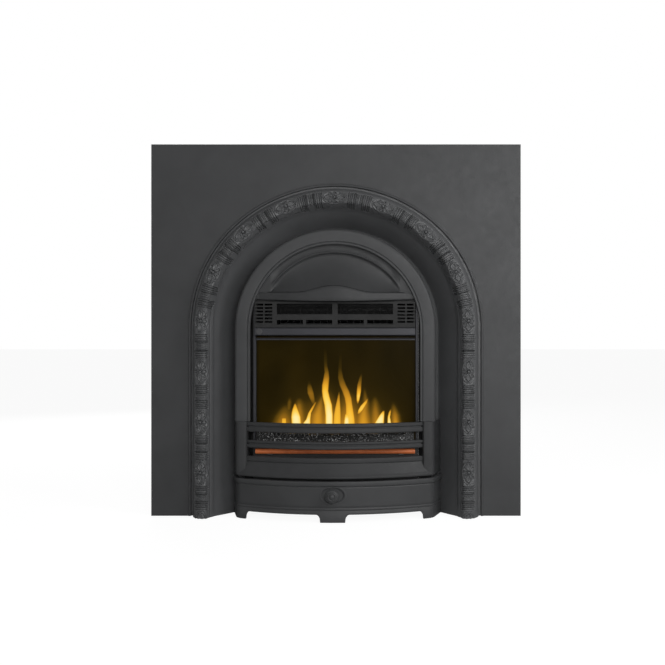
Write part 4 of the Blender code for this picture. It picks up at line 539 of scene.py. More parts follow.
def arch_moulding():
    seat = -REBATE_DEPTH - GAP
    line = resampled(dense_front(), lambda r: 0.0010 if 0.3185 < r < 0.3635 else 0.0024)
    normals = []
    for i in range(len(line)):
        run = (line[min(i + 1, len(line) - 1)] - line[max(i - 1, 0)]).normalized()
        normals.append(Vector((run.y, -run.x)))
    if normals[len(normals) // 2].y < 0:
        normals = [-normal for normal in normals]
    before = [(BEAD_RADIUS, seat), (MOULDING_EDGE, seat), (MOULDING_EDGE, LEDGE_HEIGHT - 0.0006),
              (MOULDING_EDGE - 0.0002, LEDGE_HEIGHT - 0.0002), (MOULDING_EDGE - 0.0004, LEDGE_HEIGHT)]
    reveal_end = Vector((REVEAL_RADIUS, -REVEAL_DEPTH))
    after = [tuple(Vector(MOUTH).lerp(reveal_end, k / 8)) for k in range(1, 8)] + [
        (REVEAL_RADIUS + 0.0012, -REVEAL_DEPTH + 0.0012), (REVEAL_RADIUS - 0.0006, -REVEAL_DEPTH),
        (FLANGE_INNER, -REVEAL_DEPTH), (FLANGE_INNER, FLANGE_BACK), (REVEAL_RADIUS + WALL, FLANGE_BACK),
        (MOUTH[0] + WALL, MOUTH[1]), (SHOULDER[0] + WALL, SHOULDER[1] - WALL),
        (ROLL_CREST, ROLL_HEIGHT - WALL),
    ]
    for step in range(4, -1, -1):
        angle = math.pi / 2 * step / 5
        after.append((ROLL_CREST + (ROLL_OUTER - WALL) * math.cos(angle) ** FULLNESS,
                      LEDGE_HEIGHT + (ROLL_HEIGHT - WALL - LEDGE_HEIGHT) * math.sin(angle) ** FULLNESS))
    after += [(after[-1][0], seat - WALL), (BEAD_RADIUS, seat - WALL)]
    stations = arch_stations(0.0, 980, 440)
    rings = []
    for angle, height, s in stations:
        rise = 90.0 - abs(90.0 - math.degrees(angle))
        arch_share = smooth(rise, 4.0, 14.0)
        ring = [arch_point(angle, height, r, p) for r, p in before]
        for point, normal in zip(line, normals):
            moved = point + normal * relief(s, point.x, arch_share) * MM
            ring.append(arch_point(angle, height, moved.x, moved.y))
        ring += [arch_point(angle, height, r, p) for r, p in after]
        rings.append(ring)
    points, faces = loft(rings)
    piece("cast_arch_moulding", points, faces, painted_light_iron, ["arch_moulding"], sharp=62)


def arch_frame():
    inner, outer, front = 0.219, 0.260, 0.027
    back = front - 0.007
    seat = -REVEAL_DEPTH + GAP
    outline = [
        (outer, seat), (outer, front - 0.009), (outer - 0.0009, front - 0.0050),
        (outer - 0.0030, front - 0.0020), (outer - 0.0065, front - 0.0003), (inner + 0.0086, front),
        (inner + 0.0070, front - 0.0026), (inner + 0.0054, front), (inner + 0.0016, front),
        (inner, front - 0.0027), (inner, back), (outer - 0.004, back), (outer - 0.004, seat),
    ]
    section = filleted(outline, 0.0011)
    points, faces = sweep_arch(section, arch_stations(FRET_TOP + GAP, 160, 8))
    piece("cast_arch_frame", points, faces, cast_iron, ["arch_frame"])


# -------- hood

def brow_height(x):
    """Height of the line where the bowl meets the lip, with its wave in the middle."""
    share = min(abs(x) / 0.100, 1.0)
    return HOOD_FOOT + 0.018 - 0.002 + 0.017 * (1 + math.cos(math.pi * share)) / 2


def hood_column(x):
    """Points down one column of the hood: rim, ridge, bowl, brow bead and lip."""
    flush = 0.020 - GAP
    brow = brow_height(x)
    lip = flush + LIP_OUT * (1 - min(abs(x) / LIP_HALF_WIDTH, 1.0) ** 2) ** 1.2
    lip_z = HOOD_FOOT - 0.006 * math.cos(math.pi / 2 * min(abs(x) / HOOD_HALF_WIDTH, 1.0))
    out, within = BOWL_RADIUS + 0.0025, BOWL_RADIUS - 0.0025
    rows = [(0.2300, 0.0), (0.2205, 0.0), (0.2180, -0.0030), (0.2150, -0.0042), (0.2080, -0.0042),
            (out + 0.0006, -0.0030), (out, -0.0006), (out - 0.0008, 0.0010), (BOWL_RADIUS, 0.0014),
            (within + 0.0008, 0.0004), (within, -0.0018), (within - 0.0014, -0.0042),
            (within - 0.0044, -BOWL_DEPTH)]
    heights = []
    for number, (radius, rise_out) in enumerate(rows):
        rise = math.sqrt(max(radius ** 2 - x ** 2, 0.0))
        least = brow + 0.0022 + 0.00025 * (len(rows) - number)
        heights.append((max(SPRING + rise, least), rise_out))
    top = heights[-1][0]
    fade = min(max((top - brow - 0.0030) / 0.028, 0.0), 1.0)
    points = [(heights[0][0], flush)]
    points += [(z, flush + p * fade) for z, p in heights[1:]]
    floor = flush - BOWL_DEPTH * fade
    stop = brow + 0.0018
    # The step under the brow fades out towards the sides of the hood
    step_in = 0.0022 * min(1.0, (lip - flush) / 0.004) * smooth(0.181 - abs(x), 0.0, 0.010)
    ledge = lip - step_in
    for step in range(1, 21):
        share = step / 20
        points.append((top + (stop - top) * share, floor + (ledge - floor) * share ** 1.9))
    points += [(brow + 0.0009, ledge - 0.6 * step_in), (brow + 0.0001, ledge - 0.4 * step_in),
               (brow - 0.0003, lip - 0.0006), (brow - 0.0010, lip)]
    for share in (0.3, 0.7):
        points.append((brow + (lip_z - brow) * share, lip))
    points += [(lip_z + 0.0010, lip), (lip_z + 0.0003, lip - 0.0003), (lip_z, lip - 0.0010)]
    return points


def canopy_hood():
    rings = []
    columns = 150
    for step in range(columns + 1):
        x = HOOD_HALF_WIDTH * math.sin(math.pi / 2 * (2 * step / columns - 1))
        column = hood_column(x)
        front = [(x, y_of(p), z) for z, p in column]
        back = [(x, y_of(p - 0.004), z) for z, p in column]
        rings.append(front + back[::-1])
    points, faces = loft(rings)
    piece("cast_canopy_hood", points, faces, painted_shade_iron, ["canopy_hood"], sharp=45)


# -------- fret and ash cover

def bow(x, radius=BOW_RADIUS, front=BOW_FRONT):
    """How far a bowed face stands in front of the plate at x."""
    return front - (radius - math.sqrt(radius ** 2 - x ** 2))


# Where the returns of the fret and of the cover end, beside the reveal
RETURN_BACK, RETURN_GAP = -0.041, 0.0036
REVEAL_THERE = (REVEAL_RADIUS + (MOUTH[0] - REVEAL_RADIUS) * (RETURN_BACK + REVEAL_DEPTH)
                / (MOUTH[1] + REVEAL_DEPTH))
RETURN_END = (REVEAL_THERE - RETURN_GAP, RETURN_BACK)


def rounded_front(front, corner_x, rounding, xs):
    """Plan path of a bowed front with rounded corners and straight returns."""
    radius = BOW_RADIUS + APRON_SLOPE
    corner = (corner_x, bow(corner_x, radius, front))
    start_x = corner_x - rounding
    start = (start_x, bow(start_x, radius, front))
    share = rounding / math.dist(corner, RETURN_END)
    end = tuple(a + (b - a) * share for a, b in zip(corner, RETURN_END))
    side = []
    for step in range(1, 11):
        t = step / 10
        side.append(tuple((1 - t) ** 2 * a + 2 * t * (1 - t) * b + t ** 2 * c
                          for a, b, c in zip(start, corner, end)))
    side.append(RETURN_END)
    return [(-x, p) for x, p in reversed(side)] + [(x, bow(x, radius, front)) for x in xs] + side


def mitres(path):
    """Outward offsets along a plan path, cut square at its two ends."""
    found = []
    for i, here in enumerate(path):
        normals = []
        for a, b in ((path[max(i - 1, 0)], here), (here, path[min(i + 1, len(path) - 1)])):
            run = Vector((b[0] - a[0], b[1] - a[1]))
            if run.length > 0:
                run.normalize()
                normals.append(Vector((-run.y, run.x)))
        middle = sum(normals, Vector((0, 0))).normalized()
        found.append(middle / max(middle.dot(normals[0]), 0.3))
    for end in (0, -1):
        found[end] = Vector((found[end].length_squared / found[end].x, 0))
    return found


def sweep_plan(path, section_of, points, faces):
    rings = []
    for i, (here, mitre) in enumerate(zip(path, mitres(path))):
        ring = []
        for offset, z in section_of(i):
            x, p = Vector(here) + mitre * offset
            ring.append((x, y_of(p), z))
        rings.append(ring)
    loft(rings, points=points, faces=faces)


def spread(low, high, spacing):
    steps = max(round((high - low) / spacing), 1)
    return [low + (high - low) * step / steps for step in range(steps + 1)]


def bar_section(low, high, fluted):
    flute = 0.002
    middle = low + 0.55 * (high - low)
    points = [(-0.010, low), (-flute, low), (0.0, low + flute)]
    if fluted:
        points += [(0.0, middle - 0.0032), (-0.0024, middle - 0.0008), (-0.0024, middle + 0.0008),
                   (0.0, middle + 0.0032)]
    points += [(0.0, high - flute), (-flute, high), (-0.010, high)]
    return filleted(points, 0.0014)


def post_outline(side):
    inner, outer, front, wall = 0.226, 0.258, 0.032, 0.005
    curve = flowing([(inner, 0.022), (inner, front - 0.006), (inner + 0.0025, front - 0.0015),
                     (inner + 0.006, front), (outer - 0.011, front), (outer - 0.004, front - 0.003),
                     (outer - 0.0005, front - 0.009), (outer, front - 0.016)], 4)
    points = [(inner, 0.006)] + [tuple(point) for point in curve]
    points += [(RETURN_END[0] - 0.0006, RETURN_END[1] + 0.0006),
               (RETURN_END[0] - wall, RETURN_END[1] + 0.0006), (outer - wall, front - 0.017),
               (outer - 0.008, front - 0.007), (outer - 0.013, front - wall),
               (inner + wall + 0.002, front - wall), (inner + wall, front - wall - 0.002),
               (inner + wall, 0.006)]
    return [(side * x, p) for x, p in points]


def fire_fret():
    points, faces = [], []
    apron = filleted([
        (-0.021, 0.1512), (-0.016, 0.1512), (-0.016, 0.1462), (-0.0035, 0.121), (0.0, 0.116),
        (0.0, 0.111), (-0.005, 0.111), (-0.005, 0.116),
    ], 0.0016)
    path = rounded_front(BOW_FRONT + APRON_SLOPE, 0.251, 0.0008, spread(-0.2502, 0.2502, 0.006))
    sweep_plan(path, lambda i: apron, points, faces)
    for side in (-1, 1):
        outline = post_outline(side)
        rings = [[(x, y_of(p), z) for x, p in outline] for z in (0.1135, FRET_TOP)]
        loft(rings, points=points, faces=faces)
    for low, high, fluted in ((0.223, 0.248, True), (0.182, 0.202, True), (0.147, 0.161, False)):
        section = bar_section(low, high, fluted)
        path = [(x, bow(x)) for x in spread(-0.2285, 0.2285, 0.006)]
        sweep_plan(path, lambda i: section, points, faces)
    piece("cast_fire_fret", points, faces, painted_shade_iron, ["fire_fret"])


def foot_height(x):
    """Height of the cover's lower edge, which the three feet bring down to the floor."""
    away = max(abs(x) - MIDDLE_FOOT, 0.0)
    if abs(x) > (MIDDLE_FOOT + SIDE_FOOT) / 2:
        away = max(SIDE_FOOT - abs(x), 0.0)
    if away <= 0:
        return 0.0
    share = min(away / FOOT_CURVE, 1.0)
    return 0.020 - 0.018 * (1 - math.sqrt(max(1 - (1 - share) ** 2, 0.0)))


def dish_depth(x, z):
    """Oval seat sunk round the knob, with a soft rim."""
    reach = math.hypot(x / 0.030, (z - KNOB_HEIGHT) / 0.0205)
    return 0.0024 * smooth(1.0 - reach, 0.0, 0.16) - 0.0006 * math.exp(-((reach - 1.06) / 0.06) ** 2)


def cover_front(bottom, x):
    """Offsets and heights up the cover's face at x."""
    rows = [(-0.0008, bottom), (0.0, bottom + 0.0008)]
    for height in (0.030, 0.037):
        rows += [(0.0, height - 0.0022), (-0.0011, height - 0.0006), (-0.0011, height + 0.0006),
                 (0.0, height + 0.0022)]
    for step in range(31):
        z = 0.0440 + 0.0425 * step / 30
        rows.append((-dish_depth(x, z), z))
    rows += [(0.0, 0.0874), (-0.0012, 0.0889), (-0.0012, 0.0900), (0.0012, 0.0908), (0.0026, 0.0922),
             (0.0030, 0.0936), (0.0030, 0.1010), (0.0026, 0.1026), (0.0014, 0.1038), (0.0004, 0.1040)]
    return rows


def ash_cover():
    xs = set(spread(-COVER_HALF_WIDTH, COVER_HALF_WIDTH, 0.005)) | set(spread(-0.036, 0.036, 0.0015))
    for side in (-1, 1):
        for edge in (MIDDLE_FOOT, SIDE_FOOT - FOOT_CURVE):
            xs |= {side * (edge + FOOT_CURVE * k / 10) for k in range(11)}
    xs = sorted(x for x in {round(x, 5) for x in xs} if abs(x) <= COVER_HALF_WIDTH)
    path = rounded_front(COVER_FRONT, 0.254, 0.014, xs)
    sections = []
    for x, _ in path:
        bottom = foot_height(x)
        back = [(-0.005, 0.1040), (-0.005, 0.0700), (-0.005, max(bottom, 0.0005))]
        sections.append(cover_front(bottom, x) + back)
    points, faces = [], []
    sweep_plan(path, lambda i: sections[i], points, faces)
    piece("cast_ash_cover", points, faces, cast_iron, ["ash_cover"],
          "pull_off_cover")


def cover_knob():
    # The knob's foot stands in the dish of the cover
    face = COVER_FRONT - 0.0022 + GAP
    length = KNOB_TIP - face
    shape = [(-0.001, 0.0105), (0.0, 0.0106), (0.10, 0.0102), (0.22, 0.0088), (0.31, 0.0087),
             (0.37, 0.0112), (0.44, 0.0152), (0.52, 0.0168), (0.59, 0.0170), (0.66, 0.0167),
             (0.73, 0.0156), (0.78, 0.0140)]
    profile = [(share * length, r) for share, r in shape]
    profile = [tuple(point) for point in flowing(profile, 4)]
    profile += [(0.785 * length, KNOB_RADIUS * 0.765), (0.795 * length, KNOB_RADIUS * 0.745)]
    dome = [(0.80, 0.72), (0.86, 0.66), (0.895, 0.58), (0.885, 0.50), (0.865, 0.445), (0.872, 0.40),
            (0.905, 0.37), (0.955, 0.28), (0.985, 0.17), (0.998, 0.06), (1.0, 0.012)]
    profile += [tuple(p) for p in flowing([(a * length, b * KNOB_RADIUS) for a, b in dome], 3)]
    points, faces = turned(profile, (0, y_of(face), KNOB_HEIGHT), (0, -1, 0), 72)
    piece("turned_knob", points, faces, cast_iron, ["cover_knob"], "pull_off_cover")


# -------- fire

def coal_surface(x, share):
    """Point of the heap of coals between its front foot and its back."""
    front = bow(x) - COAL_SETBACK
    p = front + (COAL_BACK - front) * share
    rise = 0.0040 + 0.0200 * smooth(share, 0.0, 0.34)
    lump = noise.noise(Vector((x * 55, share * 4.0, 1.3))) * 0.0030
    return Vector((x, y_of(p), COAL_FOOT + rise + lump * smooth(share, 0.0, 0.2)))


def fuel_bed():
    rings = []
    for x in spread(-0.204, 0.204, 0.0025):
        ring = [Vector((x, y_of(p), COAL_FLOOR)) for p in (COAL_BACK, bow(x) - COAL_SETBACK)]
        ring += [coal_surface(x, k / 24) for k in range(25)]
        rings.append(ring)
    points, faces = loft(rings)
    piece("coal_bed", points, faces, coal_bed, ["fuel_bed"], sharp=30)
    points, faces = [], []
    blob = bmesh.new()
    bmesh.ops.create_icosphere(blob, subdivisions=1, radius=1.0)
    shape = [vertex.co.copy() for vertex in blob.verts]
    triangles = [tuple(vertex.index for vertex in face.verts) for face in blob.faces]
    blob.free()
    rng = random.Random(7)
    for _ in range(COAL_PIECES):
        x = rng.uniform(-0.2005, 0.2005)
        share = rng.random() ** 1.5
        size = rng.uniform(0.0013, 0.0031) * (0.8 if share < 0.1 else 1.0)
        centre = coal_surface(x, share * 0.94 + 0.03)
        turn = Matrix.Rotation(rng.uniform(0, 6.28), 3,
                               Vector((rng.random(), rng.random(), rng.random())))
        stretch = Vector((rng.uniform(0.7, 1.35), rng.uniform(0.6, 1.1), rng.uniform(0.5, 0.9))) * size
        base = len(points)
        for vertex in shape:
            wobble = 1 + rng.uniform(-0.22, 0.22)
            local = Vector(a * b for a, b in zip(vertex, stretch)) * wobble
            points.append(centre + turn @ local)
        faces += [tuple(base + i for i in triangle) for triangle in triangles]
    piece("coal_pieces", points, faces, coal, sharp=0)


# Flames on the screen, in mm: (height, x, half width, strength) from the base up to the tip
FLAMES = [
    [(197.6, -18.3, 9.4, 1.00), (242.1, -18.0, 9.9, 1.00), (263.0, -18.0, 9.9, 1.00),
     (289.1, -20.4, 10.2, 0.92), (310.0, -25.9, 9.4, 0.86), (325.7, -28.5, 8.4, 0.79),
     (341.3, -27.7, 8.9, 0.66), (359.6, -25.1, 7.8, 0.48), (375.3, -24.5, 5.7, 0.33),
     (391.0, -26.9, 4.7, 0.18), (427.6, -28.2, 4.2, 0.05), (445.9, -28.7, 3.1, 0.00)],
    [(197.6, -103.7, 12.8, 1.00), (242.1, -103.7, 12.8, 1.00), (257.7, -104.8, 12.5, 1.00),
     (268.2, -106.1, 10.2, 0.90), (278.6, -106.9, 6.8, 0.78), (289.1, -106.9, 2.9, 0.60),
     (295.6, -107.1, 1.3, 0.00)],
    [(197.6, -135.9, 6.8, 0.74), (240.7, -135.9, 6.5, 0.74), (252.5, -135.9, 6.0, 0.66),
     (259.0, -135.9, 4.7, 0.00)],
    [(197.6, -77.1, 10.5, 0.97), (242.1, -76.3, 9.9, 0.97), (251.2, -72.6, 5.7, 0.95),
     (268.2, -68.7, 3.7, 0.78), (281.2, -61.6, 3.1, 0.62), (294.3, -54.3, 2.4, 0.42),
     (300.8, -51.7, 1.3, 0.00)],
    [(286.5, -57.5, 2.6, 0.00), (294.3, -58.8, 4.2, 0.26), (307.4, -62.7, 6.8, 0.36),
     (320.4, -66.4, 8.4, 0.38), (333.5, -68.7, 6.8, 0.30), (346.6, -70.0, 4.2, 0.10),
     (359.6, -71.1, 3.1, 0.00)],
    [(197.6, 2.6, 10.2, 0.74), (242.1, 2.9, 10.2, 0.74), (263.0, 3.4, 9.4, 0.72),
     (281.2, 4.7, 7.3, 0.69), (296.9, 6.0, 4.7, 0.62), (312.6, 7.3, 2.6, 0.46),
     (328.3, 8.4, 1.3, 0.00)],
    [(197.6, 35.0, 15.2, 0.76), (242.1, 35.6, 14.6, 0.78), (255.1, 36.3, 12.8, 0.78),
     (270.8, 35.8, 10.5, 0.74), (289.1, 34.2, 9.1, 0.66), (307.4, 31.4, 9.4, 0.57),
     (325.7, 25.1, 9.4, 0.48), (341.3, 17.8, 8.9, 0.38), (359.6, 12.3, 7.3, 0.27),
     (380.5, 10.5, 5.0, 0.16), (406.7, 11.5, 3.9, 0.08), (432.8, 12.0, 2.9, 0.00)],
    [(197.6, 27.5, 6.8, 1.00), (242.1, 27.7, 6.8, 1.00), (252.5, 28.0, 6.0, 0.97),
     (263.0, 28.5, 5.0, 0.75), (270.8, 28.8, 3.7, 0.00)],
    [(289.1, 56.5, 1.6, 0.00), (294.3, 56.7, 2.1, 0.40), (302.1, 57.5, 3.4, 0.80),
     (312.6, 58.5, 4.7, 0.86), (325.7, 59.9, 5.7, 0.68), (341.3, 60.9, 5.5, 0.42),
     (359.6, 64.3, 3.7, 0.24), (375.3, 67.4, 2.1, 0.00)],
    [(263.0, 57.5, 1.6, 0.00), (268.2, 59.6, 3.1, 0.60), (276.0, 63.8, 5.7, 0.82),
     (286.5, 70.0, 6.0, 0.80), (295.6, 76.8, 4.4, 0.68), (303.5, 81.5, 2.1, 0.40),
     (308.7, 83.6, 1.0, 0.00)],
    [(197.6, 111.8, 13.1, 1.00), (242.1, 113.2, 12.3, 1.00), (252.5, 116.6, 9.1, 1.00),
     (263.0, 120.2, 6.0, 0.92), (270.8, 123.3, 3.1, 0.70), (276.0, 125.2, 1.6, 0.00)],
    [(197.6, 139.0, 5.0, 1.00), (242.1, 139.3, 4.7, 1.00), (257.7, 138.2, 3.1, 0.88),
     (270.8, 140.9, 2.6, 0.66), (281.2, 144.5, 1.6, 0.00)],
]
GLOWS = [
    [(197.6, -49.6, 20.9, 0.42), (242.1, -48.3, 20.9, 0.42), (263.0, -47.5, 18.3, 0.40),
     (283.9, -43.1, 12.0, 0.34), (304.8, -38.1, 5.7, 0.22), (320.4, -36.6, 2.6, 0.00)],
    [(197.6, 72.1, 19.3, 0.46), (242.1, 72.1, 18.8, 0.46), (257.7, 71.6, 16.7, 0.42),
     (273.4, 72.7, 13.1, 0.38), (294.3, 78.4, 7.3, 0.32), (317.8, 75.8, 4.7, 0.16),
     (338.7, 73.2, 3.7, 0.00)],
    [(197.6, 155.2, 13.1, 0.50), (242.1, 155.5, 13.1, 0.50), (263.0, 154.2, 12.0, 0.40),
     (281.2, 151.6, 8.4, 0.22), (299.5, 149.0, 5.2, 0.00)],
    [(197.6, -138.5, 24.8, 0.44), (242.1, -138.5, 24.8, 0.42), (260.3, -137.4, 21.9, 0.32),
     (276.0, -134.5, 17.0, 0.20), (296.9, -130.6, 10.5, 0.00)],
    [(270.8, -124.4, 4.2, 0.00), (278.6, -123.8, 5.7, 0.20), (296.9, -121.7, 5.7, 0.20),
     (312.6, -120.2, 4.2, 0.00)],
    [(197.6, -97.7, 14.6, 0.40), (242.1, -97.7, 14.6, 0.40), (270.8, -97.2, 12.5, 0.34),
     (289.1, -96.7, 10.5, 0.26), (310.0, -96.1, 6.8, 0.00)],
    [(197.6, 105.6, 15.7, 0.38), (242.1, 105.6, 14.6, 0.36), (270.8, 103.5, 11.0, 0.30),
     (294.3, 102.4, 8.4, 0.20), (315.2, 101.4, 5.7, 0.00)],
    [(197.6, -18.3, 31.4, 0.34), (242.1, -18.3, 31.4, 0.32), (276.0, -19.8, 26.1, 0.22),
     (312.6, -23.5, 20.9, 0.12), (354.4, -24.5, 15.7, 0.00)],
    [(197.6, 28.8, 34.0, 0.34), (242.1, 28.8, 34.0, 0.34), (276.0, 30.3, 26.1, 0.24),
     (307.4, 28.8, 20.9, 0.14), (344.0, 20.9, 15.7, 0.00)],
]


def flame_at(flame, x, z, crisp):
    """Strength of one flame at a point of the screen, in mm."""
    if z < flame[0][0] or z > flame[-1][0]:
        return 0.0
    for low, high in zip(flame, flame[1:]):
        if low[0] <= z <= high[0]:
            t = (z - low[0]) / (high[0] - low[0])
            centre, half, strength = (a + (b - a) * t for a, b in zip(low[1:], high[1:]))
            away = abs(x - centre) / half
            if crisp:
                return strength * (1 - 0.16 * away ** 2) * smooth(1.22 - away, 0.0, 0.5)
            return strength * math.exp(-1.1 * away ** 2)
    return 0.0


def heat_at(x, z):
    """Brightness of the flame picture at a point of the screen, from dark 0 to pale 1."""
    x, z = x / MM, z / MM
    across = math.exp(-((x - 2.6) / 136.0) ** 4)
    base = 0.02 + 0.17 * across * smooth(360 - z, 0, 136) + 0.055 * across * smooth(464 - z, 0, 162)
    base += 0.030 * noise.noise(Vector((x * 0.019, z * 0.0115, 0.4)))
    base += 0.04 * smooth(315 - z, 0, 73) * smooth(219 - abs(x - 2.6), 0, 63)
    base *= smooth(206.5 - abs(x), 0, 10)
    soft = max(flame_at(glow, x, z, False) for glow in GLOWS)
    heat = max(base, 0.0) + soft * (1 - max(base, 0.0))
    sharp = max(flame_at(flame, x, z, True) for flame in FLAMES)
    return min(max(heat, sharp + 0.25 * heat * (1 - sharp)), 1.0)


def flame_screen():
    low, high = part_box("flame_screen")
    xs = spread(low.x, high.x, 0.0013)
    zs = spread(low.z, high.z, 0.0013)
    points = [(x, low.y, z) for z in zs for x in xs]
    faces = []
    wide = len(xs)
    for k in range(len(zs) - 1):
        for i in range(wide - 1):
            faces.append((k * wide + i, k * wide + i + 1, (k + 1) * wide + i + 1, (k + 1) * wide + i))
    rim = list(range(wide))
    rim += [k * wide + wide - 1 for k in range(1, len(zs))]
    rim += [(len(zs) - 1) * wide + k for k in range(wide - 2, -1, -1)]
    rim += [k * wide for k in range(len(zs) - 2, 0, -1)]
    start = len(points)
    points += [(points[i][0], high.y, points[i][2]) for i in rim]
    count = len(rim)
    for k in range(count):
        j = (k + 1) % count
        faces.append((rim[k], rim[j], start + j, start + k))
    faces.append(tuple(range(start, start + count)))
    heats = [heat_at(x, z) if y < low.y + 1e-5 else 0.0 for x, y, z in points]
    piece("flame_panel", points, faces, smoked_acrylic(), ["flame_screen"],
          sharp=30, heats=heats)


# -------- grille mesh

def outlet_mesh():
    """Woven wire in a thin rim behind the grille's two windows."""
    low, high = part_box("outlet_mesh")
    front, back = low.y, high.y
    points, faces = [], []

    def bar(x0, x1, z0, z1, y0, y1):
        ring = [(x0, y0, z0), (x1, y0, z0), (x1, y1, z0), (x0, y1, z0)]
        other = [(x, y, z1) for x, y, z in ring]
        loft([ring, other], points=points, faces=faces)

    rim = 0.0034
    for z0, z1 in ((low.z, low.z + rim), (high.z - rim + 0.001, high.z)):
        bar(low.x, high.x, z0, z1, front, back)
    for x0, x1 in ((low.x, low.x + rim), (-0.006, 0.006), (high.x - rim, high.x)):
        bar(x0, x1, low.z + rim, high.z - rim + 0.001, front, back)
    wire = 0.00042
    middle = (front + back) / 2
    for side in (-1, 1):
        for number in range(61):
            x = side * (0.0072 + 0.1426 * number / 60)
            bar(x - wire, x + wire, low.z + rim, high.z - rim + 0.001, front, middle)
        span = sorted((side * 0.0066, side * 0.1500))
        for number in range(1, 12):
            z = low.z + rim + (high.z - low.z - 2 * rim + 0.001) * number / 12
            bar(span[0], span[1], z - wire, z + wire, middle - 0.0001, back)
    piece("woven_outlet_mesh", points, faces, mesh_black_painted_shade, ["outlet_mesh"], sharp=30)


# -------- carried-over nodes

SURFACES = [
    (case_steel, "case_base case_top case_left_side case_right_side case_back left_runner "
     "right_runner mounting_collar flame_mask fuel_bed_tray ember_backplate control_panel "
     "blower_scroll blower_left_end blower_right_end spindle_left_bracket "
     "spindle_right_bracket spindle_motor fan_motor"),
    (satin_metal, "left_screen_trim right_screen_trim screen_top_trim lintel_bar"),
    (duct_steel_painted_shade, "outlet_duct heating_element"),
    (bright_steel, "flame_spindle knob_nut thermal_cutout"),
    (black_plastic, "fan_impeller left_lampholder right_lampholder left_ember_clip "
     "right_ember_clip power_switch power_rocker low_heat_switch low_heat_rocker "
     "high_heat_switch high_heat_rocker dimmer_pot dimmer_knob terminal_block cable_gland"),
    (grille_black, "heater_grille"),
    (dark_lens, "receiver_lens"),
    (bronze, "fan_bearing"),
    (lamp_glass(), "left_lamp right_lamp"),
    (ember_orange(), "ember_tube"),
    (board_green, "control_board"),
]
BEVELLED = {
    0.0006: "lintel_bar",
    0.0005: "heater_grille left_screen_trim right_screen_trim dimmer_knob",
    0.0004: "screen_top_trim power_rocker low_heat_rocker high_heat_rocker power_switch "
            "low_heat_switch high_heat_switch",
    0.0003: "case_base case_left_side case_right_side control_panel",
}


def dress_nodes():
    for surface, names in SURFACES:
        for name in names.split():
            for place in nodes[name].material_slots:
                place.material = surface
    for width, names in BEVELLED.items():
        for name in names.split():
            bevel = nodes[name].modifiers.new("softened_edges", "BEVEL")
            bevel.width = width
            bevel.segments = 2
            bevel.limit_method = "ANGLE"
            bevel.angle_limit = math.radians(40)
            bevel.harden_normals = True


# -------- stage

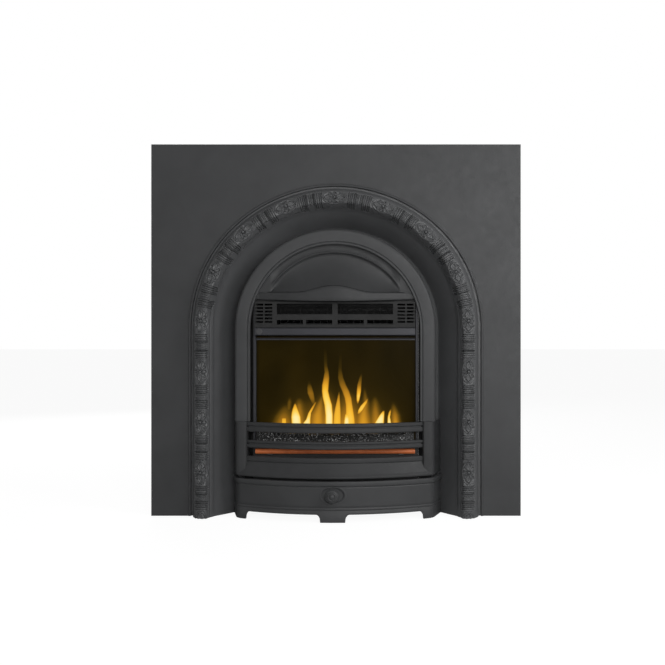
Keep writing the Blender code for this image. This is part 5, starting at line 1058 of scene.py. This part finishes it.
def stage():
    floor_mesh = bpy.data.meshes.new("floor")
    corners = [(-14, -8, 0), (14, -8, 0), (14, 24, 0), (-14, 24, 0)]
    floor_mesh.from_pydata(corners, [], [(0, 1, 2, 3)])
    floor = bpy.data.objects.new("floor", floor_mesh)
    floor.location.z = -0.0005
    bpy.context.collection.objects.link(floor)
    made, tree, shader = new_material("pale_floor")
    shader.inputs["Base Color"].default_value = (0.86, 0.86, 0.86, 1)
    shader.inputs["Roughness"].default_value = 0.9
    shader.inputs["Specular IOR Level"].default_value = 0.1
    # The camera sees mostly plain white here, and the rest keeps the object's shadow
    glow = tree.nodes.new("ShaderNodeEmission")
    mix = tree.nodes.new("ShaderNodeMixShader")
    rays = tree.nodes.new("ShaderNodeLightPath")
    share = tree.nodes.new("ShaderNodeMath")
    share.operation = "MULTIPLY"
    share.inputs[1].default_value = 0.86
    output = tree.nodes["Material Output"]
    tree.links.new(rays.outputs["Is Camera Ray"], share.inputs[0])
    tree.links.new(share.outputs[0], mix.inputs[0])
    tree.links.new(shader.outputs[0], mix.inputs[1])
    tree.links.new(glow.outputs[0], mix.inputs[2])
    glow.inputs["Strength"].default_value = 1.08
    tree.links.new(mix.outputs[0], output.inputs["Surface"])
    floor_mesh.materials.append(made)

    world = bpy.data.worlds.new("studio")
    bpy.context.scene.world = world
    world.use_nodes = True
    tree = world.node_tree
    tree.nodes.clear()
    rays = tree.nodes.new("ShaderNodeLightPath")
    seen = rays.outputs["Is Camera Ray"]
    for kind in ("Is Glossy Ray", "Is Transmission Ray"):
        either = tree.nodes.new("ShaderNodeMath")
        either.operation = "MAXIMUM"
        tree.links.new(seen, either.inputs[0])
        tree.links.new(rays.outputs[kind], either.inputs[1])
        seen = either.outputs[0]
    mix = tree.nodes.new("ShaderNodeMixShader")
    output = tree.nodes.new("ShaderNodeOutputWorld")
    tree.links.new(seen, mix.inputs[0])
    # Socket 1 lights the object softly; socket 2 is the white that these rays see
    for socket, strength in ((1, 0.13), (2, 1.0)):
        shade = tree.nodes.new("ShaderNodeBackground")
        shade.inputs["Color"].default_value = (1, 1, 1, 1)
        shade.inputs["Strength"].default_value = strength
        tree.links.new(shade.outputs[0], mix.inputs[socket])
    tree.links.new(mix.outputs[0], output.inputs["Surface"])

    middle = Vector((0, 0, 0.5))

    def area(name, place, size, power):
        light = bpy.data.lights.new(name, "AREA")
        light.shape = "RECTANGLE"
        light.size, light.size_y = size
        light.energy = power
        item = bpy.data.objects.new(name, light)
        item.location = place
        item.rotation_euler = (middle - Vector(place)).to_track_quat("-Z", "Y").to_euler()
        bpy.context.collection.objects.link(item)

    area("key", (0.75, -2.9, 1.0), (1.5, 1.3), 58)
    area("side", (1.45, -1.15, 1.20), (0.9, 0.9), 21)
    area("fill", (-1.4, -2.6, 0.7), (1.8, 1.6), 4)
    area("behind", (-1.2, 2.6, 1.6), (1.8, 1.4), 40)

    # The photograph's camera, 2.2 m in front of the plate
    lens = bpy.data.cameras.new("camera")
    lens.lens = 45.62
    lens.sensor_width = 36
    lens.shift_x = -0.1316
    lens.shift_y = 0.0023
    camera = bpy.data.objects.new("camera", lens)
    camera.location = (0.2195, PLATE_Y - 2.2, 0.4746)
    camera.rotation_euler = (math.radians(90), 0, 0)
    bpy.context.collection.objects.link(camera)
    bpy.context.scene.camera = camera
    bpy.context.scene.view_settings.view_transform = "Standard"


surround_plate()
arch_moulding()
arch_frame()
canopy_hood()
fire_fret()
ash_cover()
cover_knob()
fuel_bed()
flame_screen()
outlet_mesh()
dress_nodes()
stage()
